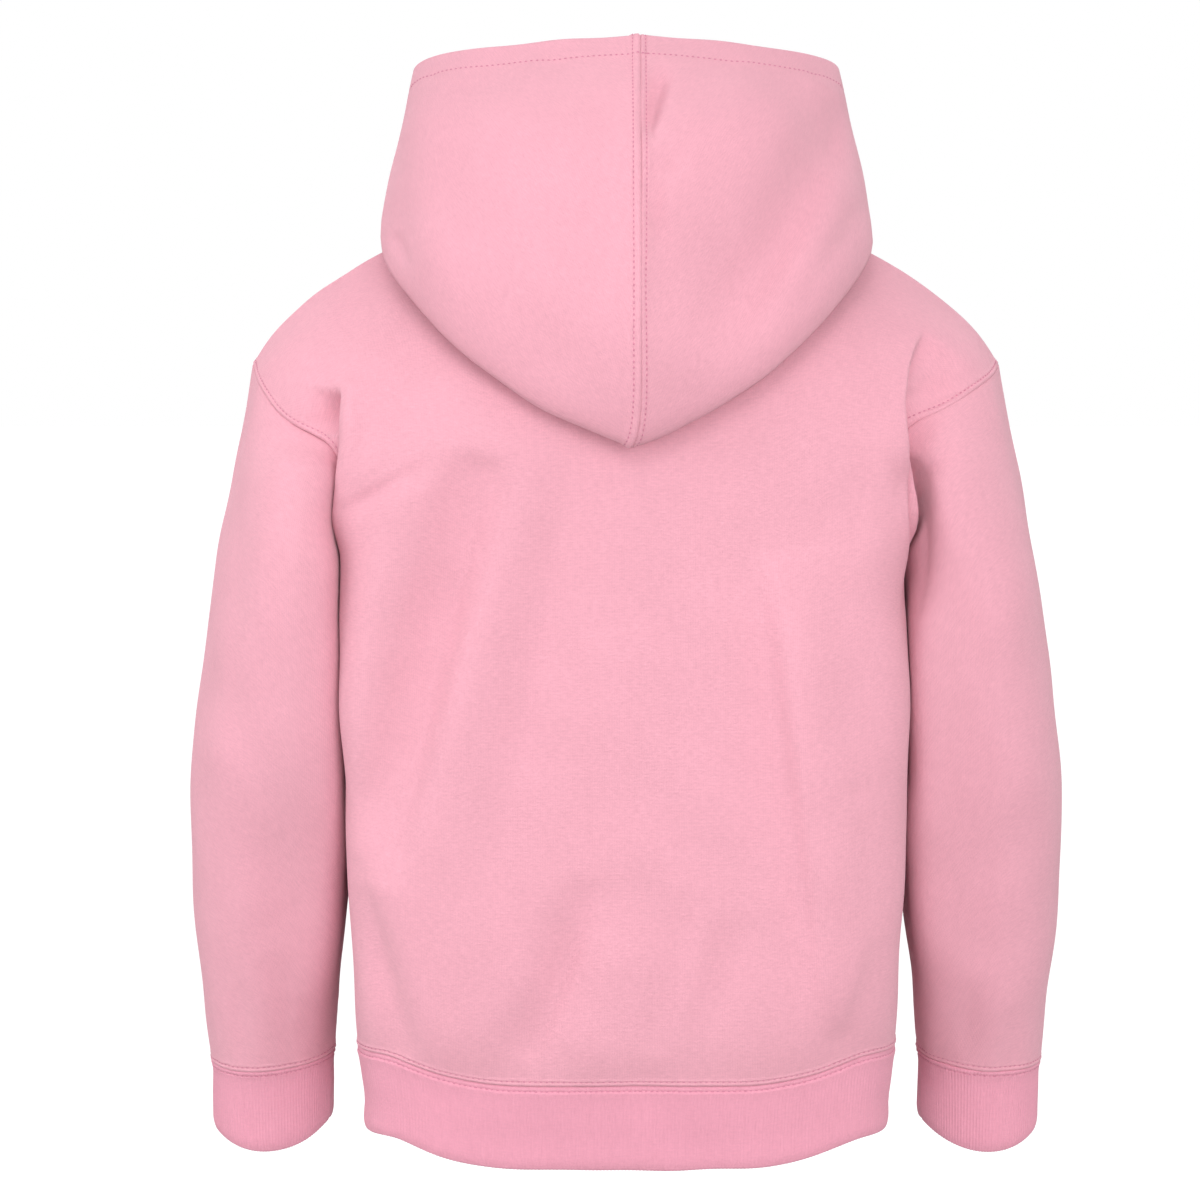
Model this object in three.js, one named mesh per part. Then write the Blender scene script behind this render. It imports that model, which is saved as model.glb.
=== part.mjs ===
// A child's pullover hoodie in brushed fleece, worn-full with nobody in it, its hood down
// on the back and puffed open. Units are millimetres, +Z is up, the front faces -Y, the
// wearer's left is +X, and z = 0 is the height of the two high shoulder points.
//
// Every piece of cloth starts as a grid of points on its outer face. Pieces that are sewn
// together share their seam points, so one smooth normal serves both; each grid is then
// given its wall along those normals and drawn back from its seams by half the seam gap.
import * as THREE from 'three';

// Cloth.
const FLEECE = { color: 0xf6b8c7, roughness: 0.95, metalness: 0 };
const RIB = { color: 0xeea6b6, roughness: 0.95, metalness: 0 };
const FLEECE_WALL = 2.4;
const RIB_WALL = 3.2;
const SEAM_GAP = 0.36; // leaves about 0.3 between the facets on a bend
const RIM_HEM_WALL = 4.4; // the rim is turned in and stitched down double

// Grid counts: columns from a centre line to a side, rows up or along a piece.
const NECK_COLUMNS = 7;
const SHOULDER_COLUMNS = 7;
const PANEL_COLUMNS = NECK_COLUMNS + SHOULDER_COLUMNS;
const ARMHOLE_ROWS = 14;
const SIDE_ROWS = 11;

// Neck opening: half its width, and how far its centre lies out and down on each side.
const NECK = { halfWidth: 80, back: { out: 62, drop: 15 }, front: { out: -76, drop: 42 } };

const vec = (x, y, z) => new THREE.Vector3(x, y, z);
const { clamp, lerp, smoothstep } = THREE.MathUtils;

// Cubic curve through four control points.
function bezier(p0, p1, p2, p3, t) {
  return new THREE.CubicBezierCurve3(p0, p1, p2, p3).getPoint(t);
}

// Smooth value of one named column of a table whose rows are in the order of `key`.
function column(table, key, at, name) {
  const last = table.length - 1;
  let i = 0;
  while (i < last - 1 && at > table[i + 1][key]) i += 1;
  const slope = (j) => {
    const a = table[Math.max(j - 1, 0)];
    const b = table[Math.min(j + 1, last)];
    return (b[name] - a[name]) / (b[key] - a[key]);
  };
  const step = table[i + 1][key] - table[i][key];
  const t = clamp((at - table[i][key]) / step, 0, 1);
  const rise = table[i + 1][name] - table[i][name];
  const near = slope(i) * step;
  const far = slope(i + 1) * step;
  return table[i][name] + near * t + (3 * rise - 2 * near - far) * t * t
    + (near + far - 2 * rise) * t * t * t;
}

// ---------------------------------------------------------------- folds

// The largest folds, one row each: where the fold runs in x and z, its half width, and how
// far it sinks in (a ridge has a depth below zero). Ends fade out by themselves.
const FOLDS = {
  back: [
    { fromX: 84, fromZ: -150, toX: 140, toZ: -330, width: 17, depth: 6 },
    { fromX: 118, fromZ: -140, toX: 152, toZ: -160, width: 9, depth: 3 },
    { fromX: 32, fromZ: -170, toX: 66, toZ: -330, width: 18, depth: 2.5 },
    { fromX: 12, fromZ: -385, toX: 46, toZ: -462, width: 13, depth: 4 },
    { fromX: 140, fromZ: -410, toX: 122, toZ: -465, width: 11, depth: 3 },
    { fromX: -94, fromZ: -230, toX: -122, toZ: -430, width: 15, depth: -3.5 },
    { fromX: -60, fromZ: -400, toX: -42, toZ: -462, width: 14, depth: 2.5 },
    { fromX: -176, fromZ: -86, toX: -156, toZ: -150, width: 8, depth: 8 },
    { fromX: 166, fromZ: -108, toX: 156, toZ: -140, width: 8, depth: 4 },
  ],
  front: [
    { fromX: -70, fromZ: -150, toX: -134, toZ: -300, width: 18, depth: 5 },
    { fromX: 88, fromZ: -160, toX: 138, toZ: -290, width: 16, depth: 4 },
    { fromX: -20, fromZ: -360, toX: -62, toZ: -455, width: 16, depth: 3.5 },
    { fromX: 38, fromZ: -330, toX: 22, toZ: -450, width: 15, depth: 2.5 },
    { fromX: 112, fromZ: -380, toX: 128, toZ: -458, width: 12, depth: 3 },
    { fromX: 174, fromZ: -90, toX: 158, toZ: -145, width: 9, depth: 5 },
    { fromX: -172, fromZ: -92, toX: -158, toZ: -142, width: 9, depth: 4 },
  ],
  hood: [
    { fromX: -118, fromZ: 62, toX: -36, toZ: -34, width: 24, depth: 7 },
    { fromX: -10, fromZ: 84, toX: -6, toZ: 30, width: 10, depth: 3 },
    { fromX: 96, fromZ: -30, toX: 40, toZ: -62, width: 22, depth: -3 },
    { fromX: 70, fromZ: 70, toX: 84, toZ: 20, width: 24, depth: 3 },
  ],
};

const FOLD_FACING = [10, 50]; // how far out, to the front or back, the folds set in

function foldDepth(folds, { x, z }) {
  let sum = 0;
  for (const { fromX, fromZ, toX, toZ, width, depth } of folds) {
    const alongX = toX - fromX;
    const alongZ = toZ - fromZ;
    const share = ((x - fromX) * alongX + (z - fromZ) * alongZ) / (alongX ** 2 + alongZ ** 2);
    const t = clamp(share, 0, 1);
    const off = Math.hypot(x - fromX - t * alongX, z - fromZ - t * alongZ);
    sum += depth * Math.exp(-((off / width) ** 2));
  }
  return sum;
}

// Presses the folds into a grid between its edges, where it faces the front or the back;
// `inward` is -1 where inside is -Y.
function pressFolds(rows, folds, inward, firstRow = 1) {
  for (let r = firstRow; r + 1 < rows.length; r += 1) {
    for (let c = 1; c + 1 < rows[r].length; c += 1) {
      const point = rows[r][c];
      const facing = smoothstep(-inward * point.y, ...FOLD_FACING);
      point.y += inward * facing * foldDepth(folds, point);
    }
  }
  return rows;
}

// ---------------------------------------------------------------- body

// Torso sections from the underarm down to the waistband seam, one row each: height,
// half depth of back and front, reach of the flat part, the full corner, the side seam.
const TORSO = [
  { z: -484, back: 90, front: 92, flat: 146, cornerX: 160, cornerY: 78, side: 149 },
  { z: -470, back: 96, front: 98, flat: 148, cornerX: 163, cornerY: 86, side: 148 },
  { z: -420, back: 101, front: 104, flat: 148, cornerX: 168, cornerY: 96, side: 147 },
  { z: -340, back: 102, front: 106, flat: 150, cornerX: 174, cornerY: 106, side: 147 },
  { z: -260, back: 102, front: 104, flat: 150, cornerX: 174, cornerY: 110, side: 149 },
  { z: -198, back: 100, front: 102, flat: 150, cornerX: 160, cornerY: 108, side: 154 },
];
const UNDERARM_Z = -198;
const WAIST_SEAM_Z = -484;
// The waistband seam rises by `by` from one share of the half panel's width to another,
// and the lift fades out up to `topZ`.
const SEAM_LIFT = { by: 15, from: 0.16, full: 0.55, topZ: -380 };

// Upper panels are evened out: how often, how strongly, and over which rows and columns,
// counted from the underarm row and from the armhole, that sets in or fades out.
const RELAX = { passes: 14, share: 0.8, rows: [-3, 2], columns: [-6, -1] };

// Centre lines above the underarm, by height.
const CENTRE = {
  back: [[100, -198], [99, -130], [88, -66], [62, -15]],
  front: [[-102, -198], [-104, -140], [-94, -84], [-76, -42]],
};

// Shoulder seam from the high shoulder point to the tip, and each half of the armhole
// from the tip to the underarm.
const SHOULDER = [vec(80, 0, 0), vec(124, -2, -12), vec(188, -6, -44), vec(212, -8, -87)];
const SHOULDER_TIP = [212, -8, -87];
const UNDERARM = [154, 0, UNDERARM_Z];
const FRONT_ARMHOLE = [
  SHOULDER_TIP, [204, -34, -100], [187, -56, -118], [162, -68, -138], [156, -48, -174], UNDERARM];
const ARMHOLE = { // the right one has ridden up on the back
  back: {
    left: [SHOULDER_TIP, [206, 22, -98], [191, 46, -115], [162, 64, -133], [156, 48, -172], UNDERARM],
    right: [SHOULDER_TIP, [206, 20, -93], [189, 44, -103], [160, 66, -121], [155, 50, -167], UNDERARM],
  },
  front: { left: FRONT_ARMHOLE, right: FRONT_ARMHOLE },
};
// The body bulges out over the lower half of an armhole: how far, where that sets in and
// ends across the half panel, and where it sets in and ends up the armhole.
const LIP = {
  out: { back: 7.5, front: 4 }, sets: [0.58, 0.82], ends: [0.84, 0.96],
  from: [0, 0.22], to: [0.42, 0.62],
};

const curve3 = (rows) => new THREE.CatmullRomCurve3(rows.map((p) => vec(...p)));
const armholePoint = (face, side, t) => curve3(ARMHOLE[face][side]).getPointAt(t);

function neckPoint(face, t) {
  const turn = t * Math.PI / 2;
  const { out, drop } = NECK[face];
  return vec(NECK.halfWidth * Math.sin(turn), out * Math.cos(turn), -drop * Math.cos(turn));
}

function torsoPoint(face, z, s) {
  const sign = face === 'back' ? 1 : -1;
  const get = (name) => column(TORSO, 'z', z, name);
  const depth = sign * get(face);
  const lift = SEAM_LIFT.by * smoothstep(s, SEAM_LIFT.from, SEAM_LIFT.full)
    * (1 - smoothstep(z, WAIST_SEAM_Z, SEAM_LIFT.topZ));
  const point = bezier(vec(0, depth, z), vec(get('flat'), depth, z),
    vec(get('cornerX'), sign * get('cornerY'), z), vec(get('side'), 0, z), s);
  return point.setZ(z + lift);
}

// Upper panel: a patch spanned by the centre line, the underarm row, the armhole and the
// neckline with the shoulder seam.
function upperPoint(face, side, s, t) {
  const low = (a) => torsoPoint(face, UNDERARM_Z, a);
  const centre = curve3(CENTRE[face].map(([y, z]) => [0, y, z])).getPointAt(t);
  const edge = armholePoint(face, side, 1 - t);
  const split = NECK_COLUMNS / PANEL_COLUMNS;
  const top = (a) => (a <= split ? neckPoint(face, a / split)
    : bezier(...SHOULDER, (a - split) / (1 - split)));
  const sum = vec(0, 0, 0)
    .addScaledVector(low(s), 1 - t).addScaledVector(top(s), t)
    .addScaledVector(centre, 1 - s).addScaledVector(edge, s);
  return sum
    .addScaledVector(low(0), -(1 - s) * (1 - t)).addScaledVector(low(1), -s * (1 - t))
    .addScaledVector(top(0), -(1 - s) * t).addScaledVector(top(1), -s * t);
}

// Evens out the bends of a grid between its edges, by a share that depends on the place.
function relax(rows, passes, share) {
  for (let pass = 0; pass < passes; pass += 1) {
    const before = rows.map((row) => row.map((p) => p.clone()));
    for (let r = 1; r + 1 < rows.length; r += 1) {
      for (let c = 1; c + 1 < rows[r].length; c += 1) {
        const mean = before[r - 1][c].clone().add(before[r + 1][c])
          .add(before[r][c - 1]).add(before[r][c + 1]).multiplyScalar(0.25);
        rows[r][c].lerp(mean, share(r, c));
      }
    }
  }
  return rows;
}

// Whole front or back: rows from the waistband seam up, columns from right to left.
function bodyPanel(face) {
  const rows = [];
  for (let r = 0; r <= SIDE_ROWS + ARMHOLE_ROWS; r += 1) {
    const row = [];
    for (let c = -PANEL_COLUMNS; c <= PANEL_COLUMNS; c += 1) {
      const s = Math.abs(c) / PANEL_COLUMNS;
      const z = lerp(WAIST_SEAM_Z, UNDERARM_Z, r / SIDE_ROWS);
      const point = r <= SIDE_ROWS ? torsoPoint(face, z, s)
        : upperPoint(face, c < 0 ? 'right' : 'left', s, (r - SIDE_ROWS) / ARMHOLE_ROWS);
      if (c < 0) point.x *= -1;
      row.push(point);
    }
    rows.push(row);
  }
  const upperShare = (r, c) => RELAX.share * smoothstep(r - SIDE_ROWS, ...RELAX.rows)
    * (1 - smoothstep(Math.abs(c - PANEL_COLUMNS) - PANEL_COLUMNS, ...RELAX.columns));
  relax(rows, RELAX.passes, upperShare);
  rows.forEach((row, r) => row.forEach((point, c) => {
    const across = Math.abs(c / PANEL_COLUMNS - 1);
    const climb = (r - SIDE_ROWS) / ARMHOLE_ROWS;
    const share = smoothstep(across, ...LIP.sets) * (1 - smoothstep(across, ...LIP.ends))
      * smoothstep(climb, ...LIP.from) * (1 - smoothstep(climb, ...LIP.to));
    point.x += LIP.out[face] * share * Math.sign(c - PANEL_COLUMNS);
  }));
  return pressFolds(rows, FOLDS[face], face === 'back' ? -1 : 1);
}

// ---------------------------------------------------------------- sleeves

// Sleeve sections below the underarm: height, outer and inner edge, centre and half
// depth, how much lower the outer side hangs than the inner, how much lower the middle of
// the back and front hangs than both, and how flat the inner side is pressed on the body.
const SLEEVE = [
  { z: -492, outer: 241, inner: 169, centre: -28, depth: 37, tilt: 3, sag: 4, flat: 0 },
  { z: -455, outer: 244, inner: 167, centre: -22, depth: 45, tilt: 3, sag: 2, flat: 0.3 },
  { z: -410, outer: 248, inner: 162, centre: -15, depth: 52, tilt: 2, sag: 1, flat: 0.55 },
  { z: -355, outer: 250, inner: 158.5, centre: -9, depth: 60, tilt: 1, sag: 0, flat: 0.64 },
  { z: -310, outer: 248, inner: 158.5, centre: -4, depth: 66, tilt: 1, sag: 0, flat: 0.66 },
  { z: -255, outer: 241, inner: 157.5, centre: 0, depth: 69, tilt: 0, sag: 0, flat: 0.66 },
];
const SLEEVE_TOP_Z = -255;
const CUFF_SEAM_Z = -492;
const CAP_ROWS = 7;
const ARM_ROWS = 11;
// How a sleeve leaves the armhole: outwards, more so at the middle of the back and front,
// which also spread apart, and down.
const LEAVE = { out: 0.18, moreAtMiddle: 0.25, spread: 0.4, down: 0.95 };
const JUST_BELOW = 10; // where a sleeve's direction is read, under its first section

function sleeveSection(z, turn) {
  const get = (name) => column(SLEEVE, 'z', z, name);
  const across = Math.cos(turn);
  const deep = Math.sin(turn);
  const flat = across < 0 ? get('flat') : 0;
  const halfWidth = (get('outer') - get('inner')) / 2;
  const x = get('outer') - halfWidth + halfWidth * across * (1 + flat * deep ** 2);
  const y = get('centre') + get('depth') * deep * (1 + flat * across ** 2);
  return vec(x, y, z + get('sag') * across ** 2 - get('tilt') * across);
}

function capPoint(side, k, t) {
  const turn = (k / ARMHOLE_ROWS) * Math.PI;
  const start = k <= ARMHOLE_ROWS ? armholePoint('back', side, k / ARMHOLE_ROWS)
    : armholePoint('front', side, 2 - k / ARMHOLE_ROWS);
  const end = sleeveSection(SLEEVE_TOP_Z, turn);
  const reach = start.distanceTo(end);
  const deep = Math.sin(turn);
  const out = LEAVE.out + LEAVE.moreAtMiddle * deep ** 2;
  const leave = vec(out, LEAVE.spread * deep, -LEAVE.down).multiplyScalar(reach);
  const arrive = sleeveSection(SLEEVE_TOP_Z - JUST_BELOW, turn).sub(end).setLength(reach);
  const p1 = start.clone().addScaledVector(leave, 1 / 3);
  const p2 = end.clone().addScaledVector(arrive, -1 / 3);
  return bezier(start, p1, p2, end, t);
}

// Rows from the armhole to the cuff seam, columns once round from the shoulder tip.
function sleeve(side) {
  const rows = [];
  for (let r = 0; r <= CAP_ROWS + ARM_ROWS; r += 1) {
    const row = [];
    for (let k = 0; k < 2 * ARMHOLE_ROWS; k += 1) {
      const z = lerp(SLEEVE_TOP_Z, CUFF_SEAM_Z, (r - CAP_ROWS) / ARM_ROWS);
      const point = r <= CAP_ROWS ? capPoint(side, k, r / CAP_ROWS)
        : sleeveSection(z, (k / ARMHOLE_ROWS) * Math.PI);
      point.x *= side === 'left' ? 1 : -1;
      row.push(point);
    }
    rows.push(row);
  }
  return rows;
}

// ---------------------------------------------------------------- cuffs and waistband

// Rings of a knitted band below a seam, one row each: drop below the seam and the share
// of the seam ring's width and depth. A band's rise is the share of its drop that it
// loses at its sides, where it is drawn up.
const CUFF = [
  { drop: 0, wide: 1, deep: 1 },
  { drop: 6, wide: 0.975, deep: 0.93 },
  { drop: 18, wide: 0.972, deep: 0.87 },
  { drop: 34, wide: 0.972, deep: 0.84 },
  { drop: 44, wide: 0.965, deep: 0.82 },
  { drop: 49, wide: 0.93, deep: 0.76 },
];
const WAISTBAND = [
  { drop: 0, wide: 1, deep: 1 },
  { drop: 7, wide: 0.985, deep: 0.975 },
  { drop: 20, wide: 0.98, deep: 0.965 },
  { drop: 36, wide: 0.978, deep: 0.955 },
  { drop: 45, wide: 0.978, deep: 0.945 },
  { drop: 49, wide: 0.97, deep: 0.925 },
];
const CUFF_RISE = 0.17;
const WAISTBAND_RISE = 0.012;

function bandRows(seamRing, table, sideRise) {
  const box = new THREE.Box3().setFromPoints(seamRing);
  const middle = box.getCenter(new THREE.Vector3());
  const halfWidth = (box.max.x - box.min.x) / 2;
  return table.map(({ drop, wide, deep }) => seamRing.map((p) => {
    const across = p.x - middle.x;
    const rise = sideRise * (across / halfWidth) ** 2;
    return vec(middle.x + across * wide, middle.y + (p.y - middle.y) * deep, p.z - drop * (1 - rise));
  }));
}

// ---------------------------------------------------------------- hood

// Half hood, from centre front (u = 0) past the high shoulder point (u = 0.5) to centre
// back (u = 1). Each rail is a table of places along it: the ridge where the hood turns
// over behind the neck, the layer that lies on the shoulders and back, the fold it turns
// back up from, the full outer layer, and the rim of the opening.
const RAILS = {
  ridge: [
    { u: 0, x: 0, y: -79, z: -38 },
    { u: 0.15, x: 42, y: -75, z: -19 },
    { u: 0.3, x: 76, y: -51, z: 7 },
    { u: 0.5, x: 92, y: -4, z: 22 },
    { u: 0.75, x: 66, y: 52, z: 20 },
    { u: 1, x: 0, y: 79, z: 12 },
  ],
  lower: [
    { u: 0, x: 0, y: -80.5, z: -35 },
    { u: 0.15, x: 45, y: -80, z: -13 },
    { u: 0.3, x: 87, y: -60, z: 5 },
    { u: 0.5, x: 114, y: -8, z: -3 },
    { u: 0.75, x: 84, y: 73, z: -28 },
    { u: 1, x: 0, y: 98, z: -60 },
  ],
  fold: [
    { u: 0, x: 0, y: -82, z: -32 },
    { u: 0.15, x: 49, y: -84, z: -8 },
    { u: 0.3, x: 100, y: -69, z: -7 },
    { u: 0.5, x: 134, y: -12, z: -12 },
    { u: 0.65, x: 132, y: 42, z: -32 },
    { u: 0.8, x: 90, y: 92, z: -77 },
    { u: 0.9, x: 49, y: 108, z: -107 },
    { u: 1, x: 0, y: 113, z: -128 },
  ],
  bulge: [
    { u: 0, x: 0, y: -84, z: -28 },
    { u: 0.15, x: 51, y: -87, z: -1 },
    { u: 0.3, x: 105, y: -68, z: 9 },
    { u: 0.5, x: 134, y: -14, z: 8 },
    { u: 0.65, x: 131, y: 42, z: -4 },
    { u: 0.8, x: 98, y: 98, z: -38 },
    { u: 1, x: 0, y: 136, z: -62 },
  ],
  upper: [
    { u: 0, x: 0, y: -85.5, z: -25 },
    { u: 0.15, x: 51, y: -88, z: 6 },
    { u: 0.3, x: 99, y: -66, z: 22 },
    { u: 0.5, x: 126, y: -26, z: 44 },
    { u: 0.7, x: 117, y: 42, z: 48 },
    { u: 0.85, x: 72, y: 90, z: 40 },
    { u: 1, x: 0, y: 108, z: 32 },
  ],
  rim: [
    { u: 0, x: 0, y: -87, z: -21 },
    { u: 0.15, x: 48, y: -86, z: 14 },
    { u: 0.3, x: 86, y: -68, z: 34 },
    { u: 0.5, x: 115, y: -40, z: 68 },
    { u: 0.65, x: 119, y: -8, z: 83 },
    { u: 0.8, x: 82, y: 24, z: 91 },
    { u: 1, x: 0, y: 40, z: 98 },
  ],
};
const FOLD_RADIUS = [
  { u: 0, ridge: 0, fold: 0 },
  { u: 0.12, ridge: 0, fold: 0 },
  { u: 0.3, ridge: 4, fold: 6 },
  { u: 0.5, ridge: 5, fold: 7 },
  { u: 1, ridge: 5, fold: 8 },
];
// Rows spent on each stretch of a hood section.
const HOOD_STRETCHES = [1, 1, 1, 4, 4, 2, 2, 4, 4, 4];
const RIM_HEM_ROWS = 2;
const HOOD_PRESS_ROW = 15; // folds are pressed into the rows above this one
// Near the centre front, where a section is short and hardly folded, its rows are evenly
// spaced and evened out; each fades out over some columns.
const FRONT = { evenColumns: [2, 6], relaxPasses: 8, relaxShare: 0.8, relaxColumns: [3, 7] };
const SHARP_RADIUS = 0.5; // a fold with a smaller radius, or hardly bent, is left sharp
const SHARP_BEND = 1;
const SHARP_SHARE = 0.2; // how far out its two rounding points lie
// The hood's centre seam has slipped to the wearer's right on the outer layer: how far,
// from which u it starts, and the rows over which it sets in above the fold.
const SLIP = { x: -7.5, fromU: 0.78, firstRow: 11, fullRow: 17 };

function railPoint(name, u) {
  const get = (axis) => column(RAILS[name], 'u', u, axis);
  return vec(get('x'), get('y'), get('z'));
}

// Two points that round a fold off, on the side it comes from and the side it leaves by.
function foldShoulders(before, fold, after, radius) {
  const into = before.clone().add(after).addScaledVector(fold, -2);
  if (radius < SHARP_RADIUS || into.length() < SHARP_BEND) {
    return [before, after].map((p) => fold.clone().lerp(p, SHARP_SHARE));
  }
  into.normalize();
  const side = after.clone().sub(before);
  side.addScaledVector(into, -side.dot(into)).normalize();
  const base = fold.clone().addScaledVector(into, radius);
  return [base.clone().addScaledVector(side, -radius), base.addScaledVector(side, radius)];
}

function hoodSection(u) {
  const neck = u <= 0.5 ? neckPoint('front', 2 * u) : neckPoint('back', 2 - 2 * u);
  const [ridge, lower, fold, bulge, upper, rim] = Object.keys(RAILS).map((n) => railPoint(n, u));
  const ridgeRadius = column(FOLD_RADIUS, 'u', u, 'ridge');
  const foldRadius = column(FOLD_RADIUS, 'u', u, 'fold');
  const [ridgeIn, ridgeOut] = foldShoulders(neck, ridge, lower, ridgeRadius);
  const [foldIn, foldOut] = foldShoulders(lower, fold, bulge, foldRadius);
  return new THREE.CatmullRomCurve3(
    [neck, ridgeIn, ridge, ridgeOut, lower, foldIn, fold, foldOut, bulge, upper, rim],
    false, 'centripetal',
  );
}

// Shares along a hood section, by its control points, for every row of the grid.
const HOOD_SHARES = HOOD_STRETCHES.flatMap((count, stretch) => (
  Array.from({ length: count }, (_, i) => (stretch + i / count) / HOOD_STRETCHES.length)
)).concat(1);

// Rows from the neck seam to the rim, columns from centre front to centre back.
function hoodHalf(side) {
  const last = HOOD_SHARES.length - 1;
  const sections = [];
  for (let c = 0; c <= 2 * NECK_COLUMNS; c += 1) {
    const curve = hoodSection(c / (2 * NECK_COLUMNS));
    const even = 1 - smoothstep(c, ...FRONT.evenColumns);
    sections.push(HOOD_SHARES.map((share, r) => {
      const point = curve.getPoint(share).lerp(curve.getPointAt(r / last), even);
      const slip = SLIP.x * smoothstep(c / (2 * NECK_COLUMNS), SLIP.fromU, 1)
        * smoothstep(r, SLIP.firstRow, SLIP.fullRow);
      return point.setX(point.x * side + slip);
    }));
  }
  const rows = HOOD_SHARES.map((_, r) => sections.map((points) => points[r]));
  const frontShare = (r, c) => FRONT.relaxShare * (1 - smoothstep(c, ...FRONT.relaxColumns));
  relax(rows, FRONT.relaxPasses, frontShare);
  return pressFolds(rows, FOLDS.hood, -1, HOOD_PRESS_ROW);
}

// ---------------------------------------------------------------- walls

const placeKey = (p) => [p.x, p.y, p.z].map((v) => Math.round(v * 100)).join();

// Triangles of a grid as triples of [row, column], each quad split on its shorter way.
function gridTriangles(rows, closed) {
  const width = rows[0].length;
  const triangles = [];
  for (let r = 0; r + 1 < rows.length; r += 1) {
    for (let c = 0; c < (closed ? width : width - 1); c += 1) {
      const d = (c + 1) % width;
      const short = rows[r][c].distanceTo(rows[r + 1][d]) < rows[r][d].distanceTo(rows[r + 1][c]);
      const [a, b, e, f] = [[r, c], [r, d], [r + 1, d], [r + 1, c]];
      triangles.push(...(short ? [[a, b, e], [a, e, f]] : [[a, b, f], [b, e, f]]));
    }
  }
  return triangles;
}

// Adds up the faces' normals at each place, weighted by their corner angles, over every
// piece, so that pieces sewn together get one normal on their seam.
function sharedNormals(pieces) {
  const normals = new Map();
  for (const { rows, closed, flip } of pieces) {
    for (const triangle of gridTriangles(rows, closed)) {
      const corners = triangle.map(([r, c]) => rows[r][c]);
      const normal = new THREE.Triangle(...corners).getNormal(new THREE.Vector3());
      corners.forEach((corner, i) => {
        const one = corners[(i + 1) % 3].clone().sub(corner);
        const two = corners[(i + 2) % 3].clone().sub(corner);
        const key = placeKey(corner);
        if (!normals.has(key)) normals.set(key, new THREE.Vector3());
        normals.get(key).addScaledVector(normal, (flip ? -1 : 1) * one.angleTo(two));
      });
    }
  }
  normals.forEach((normal) => normal.normalize());
  return normals;
}

// Where a seam point moves so that it lies half a seam gap inside each of its piece's seam
// lines, square to the shared normal. Edges named in `open` are free and stay.
function seamShift({ rows, closed, open }, r, c, normal) {
  const last = { r: rows.length - 1, c: rows[0].length - 1 };
  const here = rows[r][c];
  const wrap = (k) => (closed ? (k + last.c + 1) % (last.c + 1) : k);
  const at = (i, j) => rows[i]?.[wrap(j)];
  const draws = [];
  const draw = (next, inside) => {
    if (!next) return;
    const away = next.clone().sub(here).cross(normal).normalize();
    draws.push(away.multiplyScalar(Math.sign(away.dot(inside.clone().sub(here)))));
  };
  const startSeam = r === 0 && !open.includes('start');
  const endSeam = r === last.r && !open.includes('end');
  if (startSeam || endSeam) {
    const inside = at(startSeam ? 1 : r - 1, c);
    draw(at(r, c - 1), inside);
    draw(at(r, c + 1), inside);
  }
  if (!closed && (c === 0 || c === last.c)) {
    const inside = at(r, c === 0 ? 1 : c - 1);
    draw(at(r - 1, c), inside);
    draw(at(r + 1, c), inside);
  }
  const shift = new THREE.Vector3();
  if (!draws.length) return shift;
  draws.forEach((m) => shift.add(m));
  const spread = draws.length / draws.reduce((sum, m) => sum + m.dot(shift) / draws.length, 0);
  return shift.multiplyScalar((SEAM_GAP / 2) * spread / draws.length);
}

// One closed solid: the outer grid, the inner grid and the strips along the edges.
function wallGeometry(piece, normals) {
  const { rows, closed, flip, wall } = piece;
  const width = rows[0].length;
  const count = rows.length * width;
  const positions = [];
  const inner = [];
  rows.forEach((row, r) => row.forEach((point, c) => {
    const normal = normals.get(placeKey(point));
    const outer = point.clone().add(seamShift(piece, r, c, normal));
    positions.push(...outer);
    inner.push(...outer.addScaledVector(normal, -wall(r)));
  }));
  positions.push(...inner);
  const index = ([r, c]) => r * width + c;
  const faces = [];
  const face = (a, b, c) => faces.push(...(flip ? [a, c, b] : [a, b, c]));
  for (const [a, b, c] of gridTriangles(rows, closed).map((t) => t.map(index))) {
    face(a, b, c);
    face(a + count, c + count, b + count);
  }
  const strip = (a, b) => {
    face(a, a + count, b);
    face(b, a + count, b + count);
  };
  const last = rows.length - 1;
  for (let c = 0; c < (closed ? width : width - 1); c += 1) {
    const d = (c + 1) % width;
    strip(index([0, c]), index([0, d]));
    strip(index([last, d]), index([last, c]));
  }
  for (let r = 0; r < last && !closed; r += 1) {
    strip(index([r + 1, 0]), index([r, 0]));
    strip(index([r, width - 1]), index([r + 1, width - 1]));
  }
  const geometry = new THREE.BufferGeometry();
  geometry.setAttribute('position', new THREE.Float32BufferAttribute(positions, 3));
  geometry.setIndex(faces);
  geometry.computeVertexNormals();
  return geometry;
}

// ---------------------------------------------------------------- the garment

const fleeceWall = () => FLEECE_WALL;
const ribWall = () => RIB_WALL;
const rimWall = (r) => (r >= HOOD_SHARES.length - RIM_HEM_ROWS ? RIM_HEM_WALL : FLEECE_WALL);

const back = bodyPanel('back');
const front = bodyPanel('front');
const sleeveLeft = sleeve('left');
const sleeveRight = sleeve('right');
const waistRing = [...back[0].slice(0, -1), ...front[0].slice(1).reverse()];

const cuff = (sleeveRows) => bandRows(sleeveRows.at(-1), CUFF, CUFF_RISE);
const waistband = bandRows(waistRing, WAISTBAND, WAISTBAND_RISE);

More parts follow.
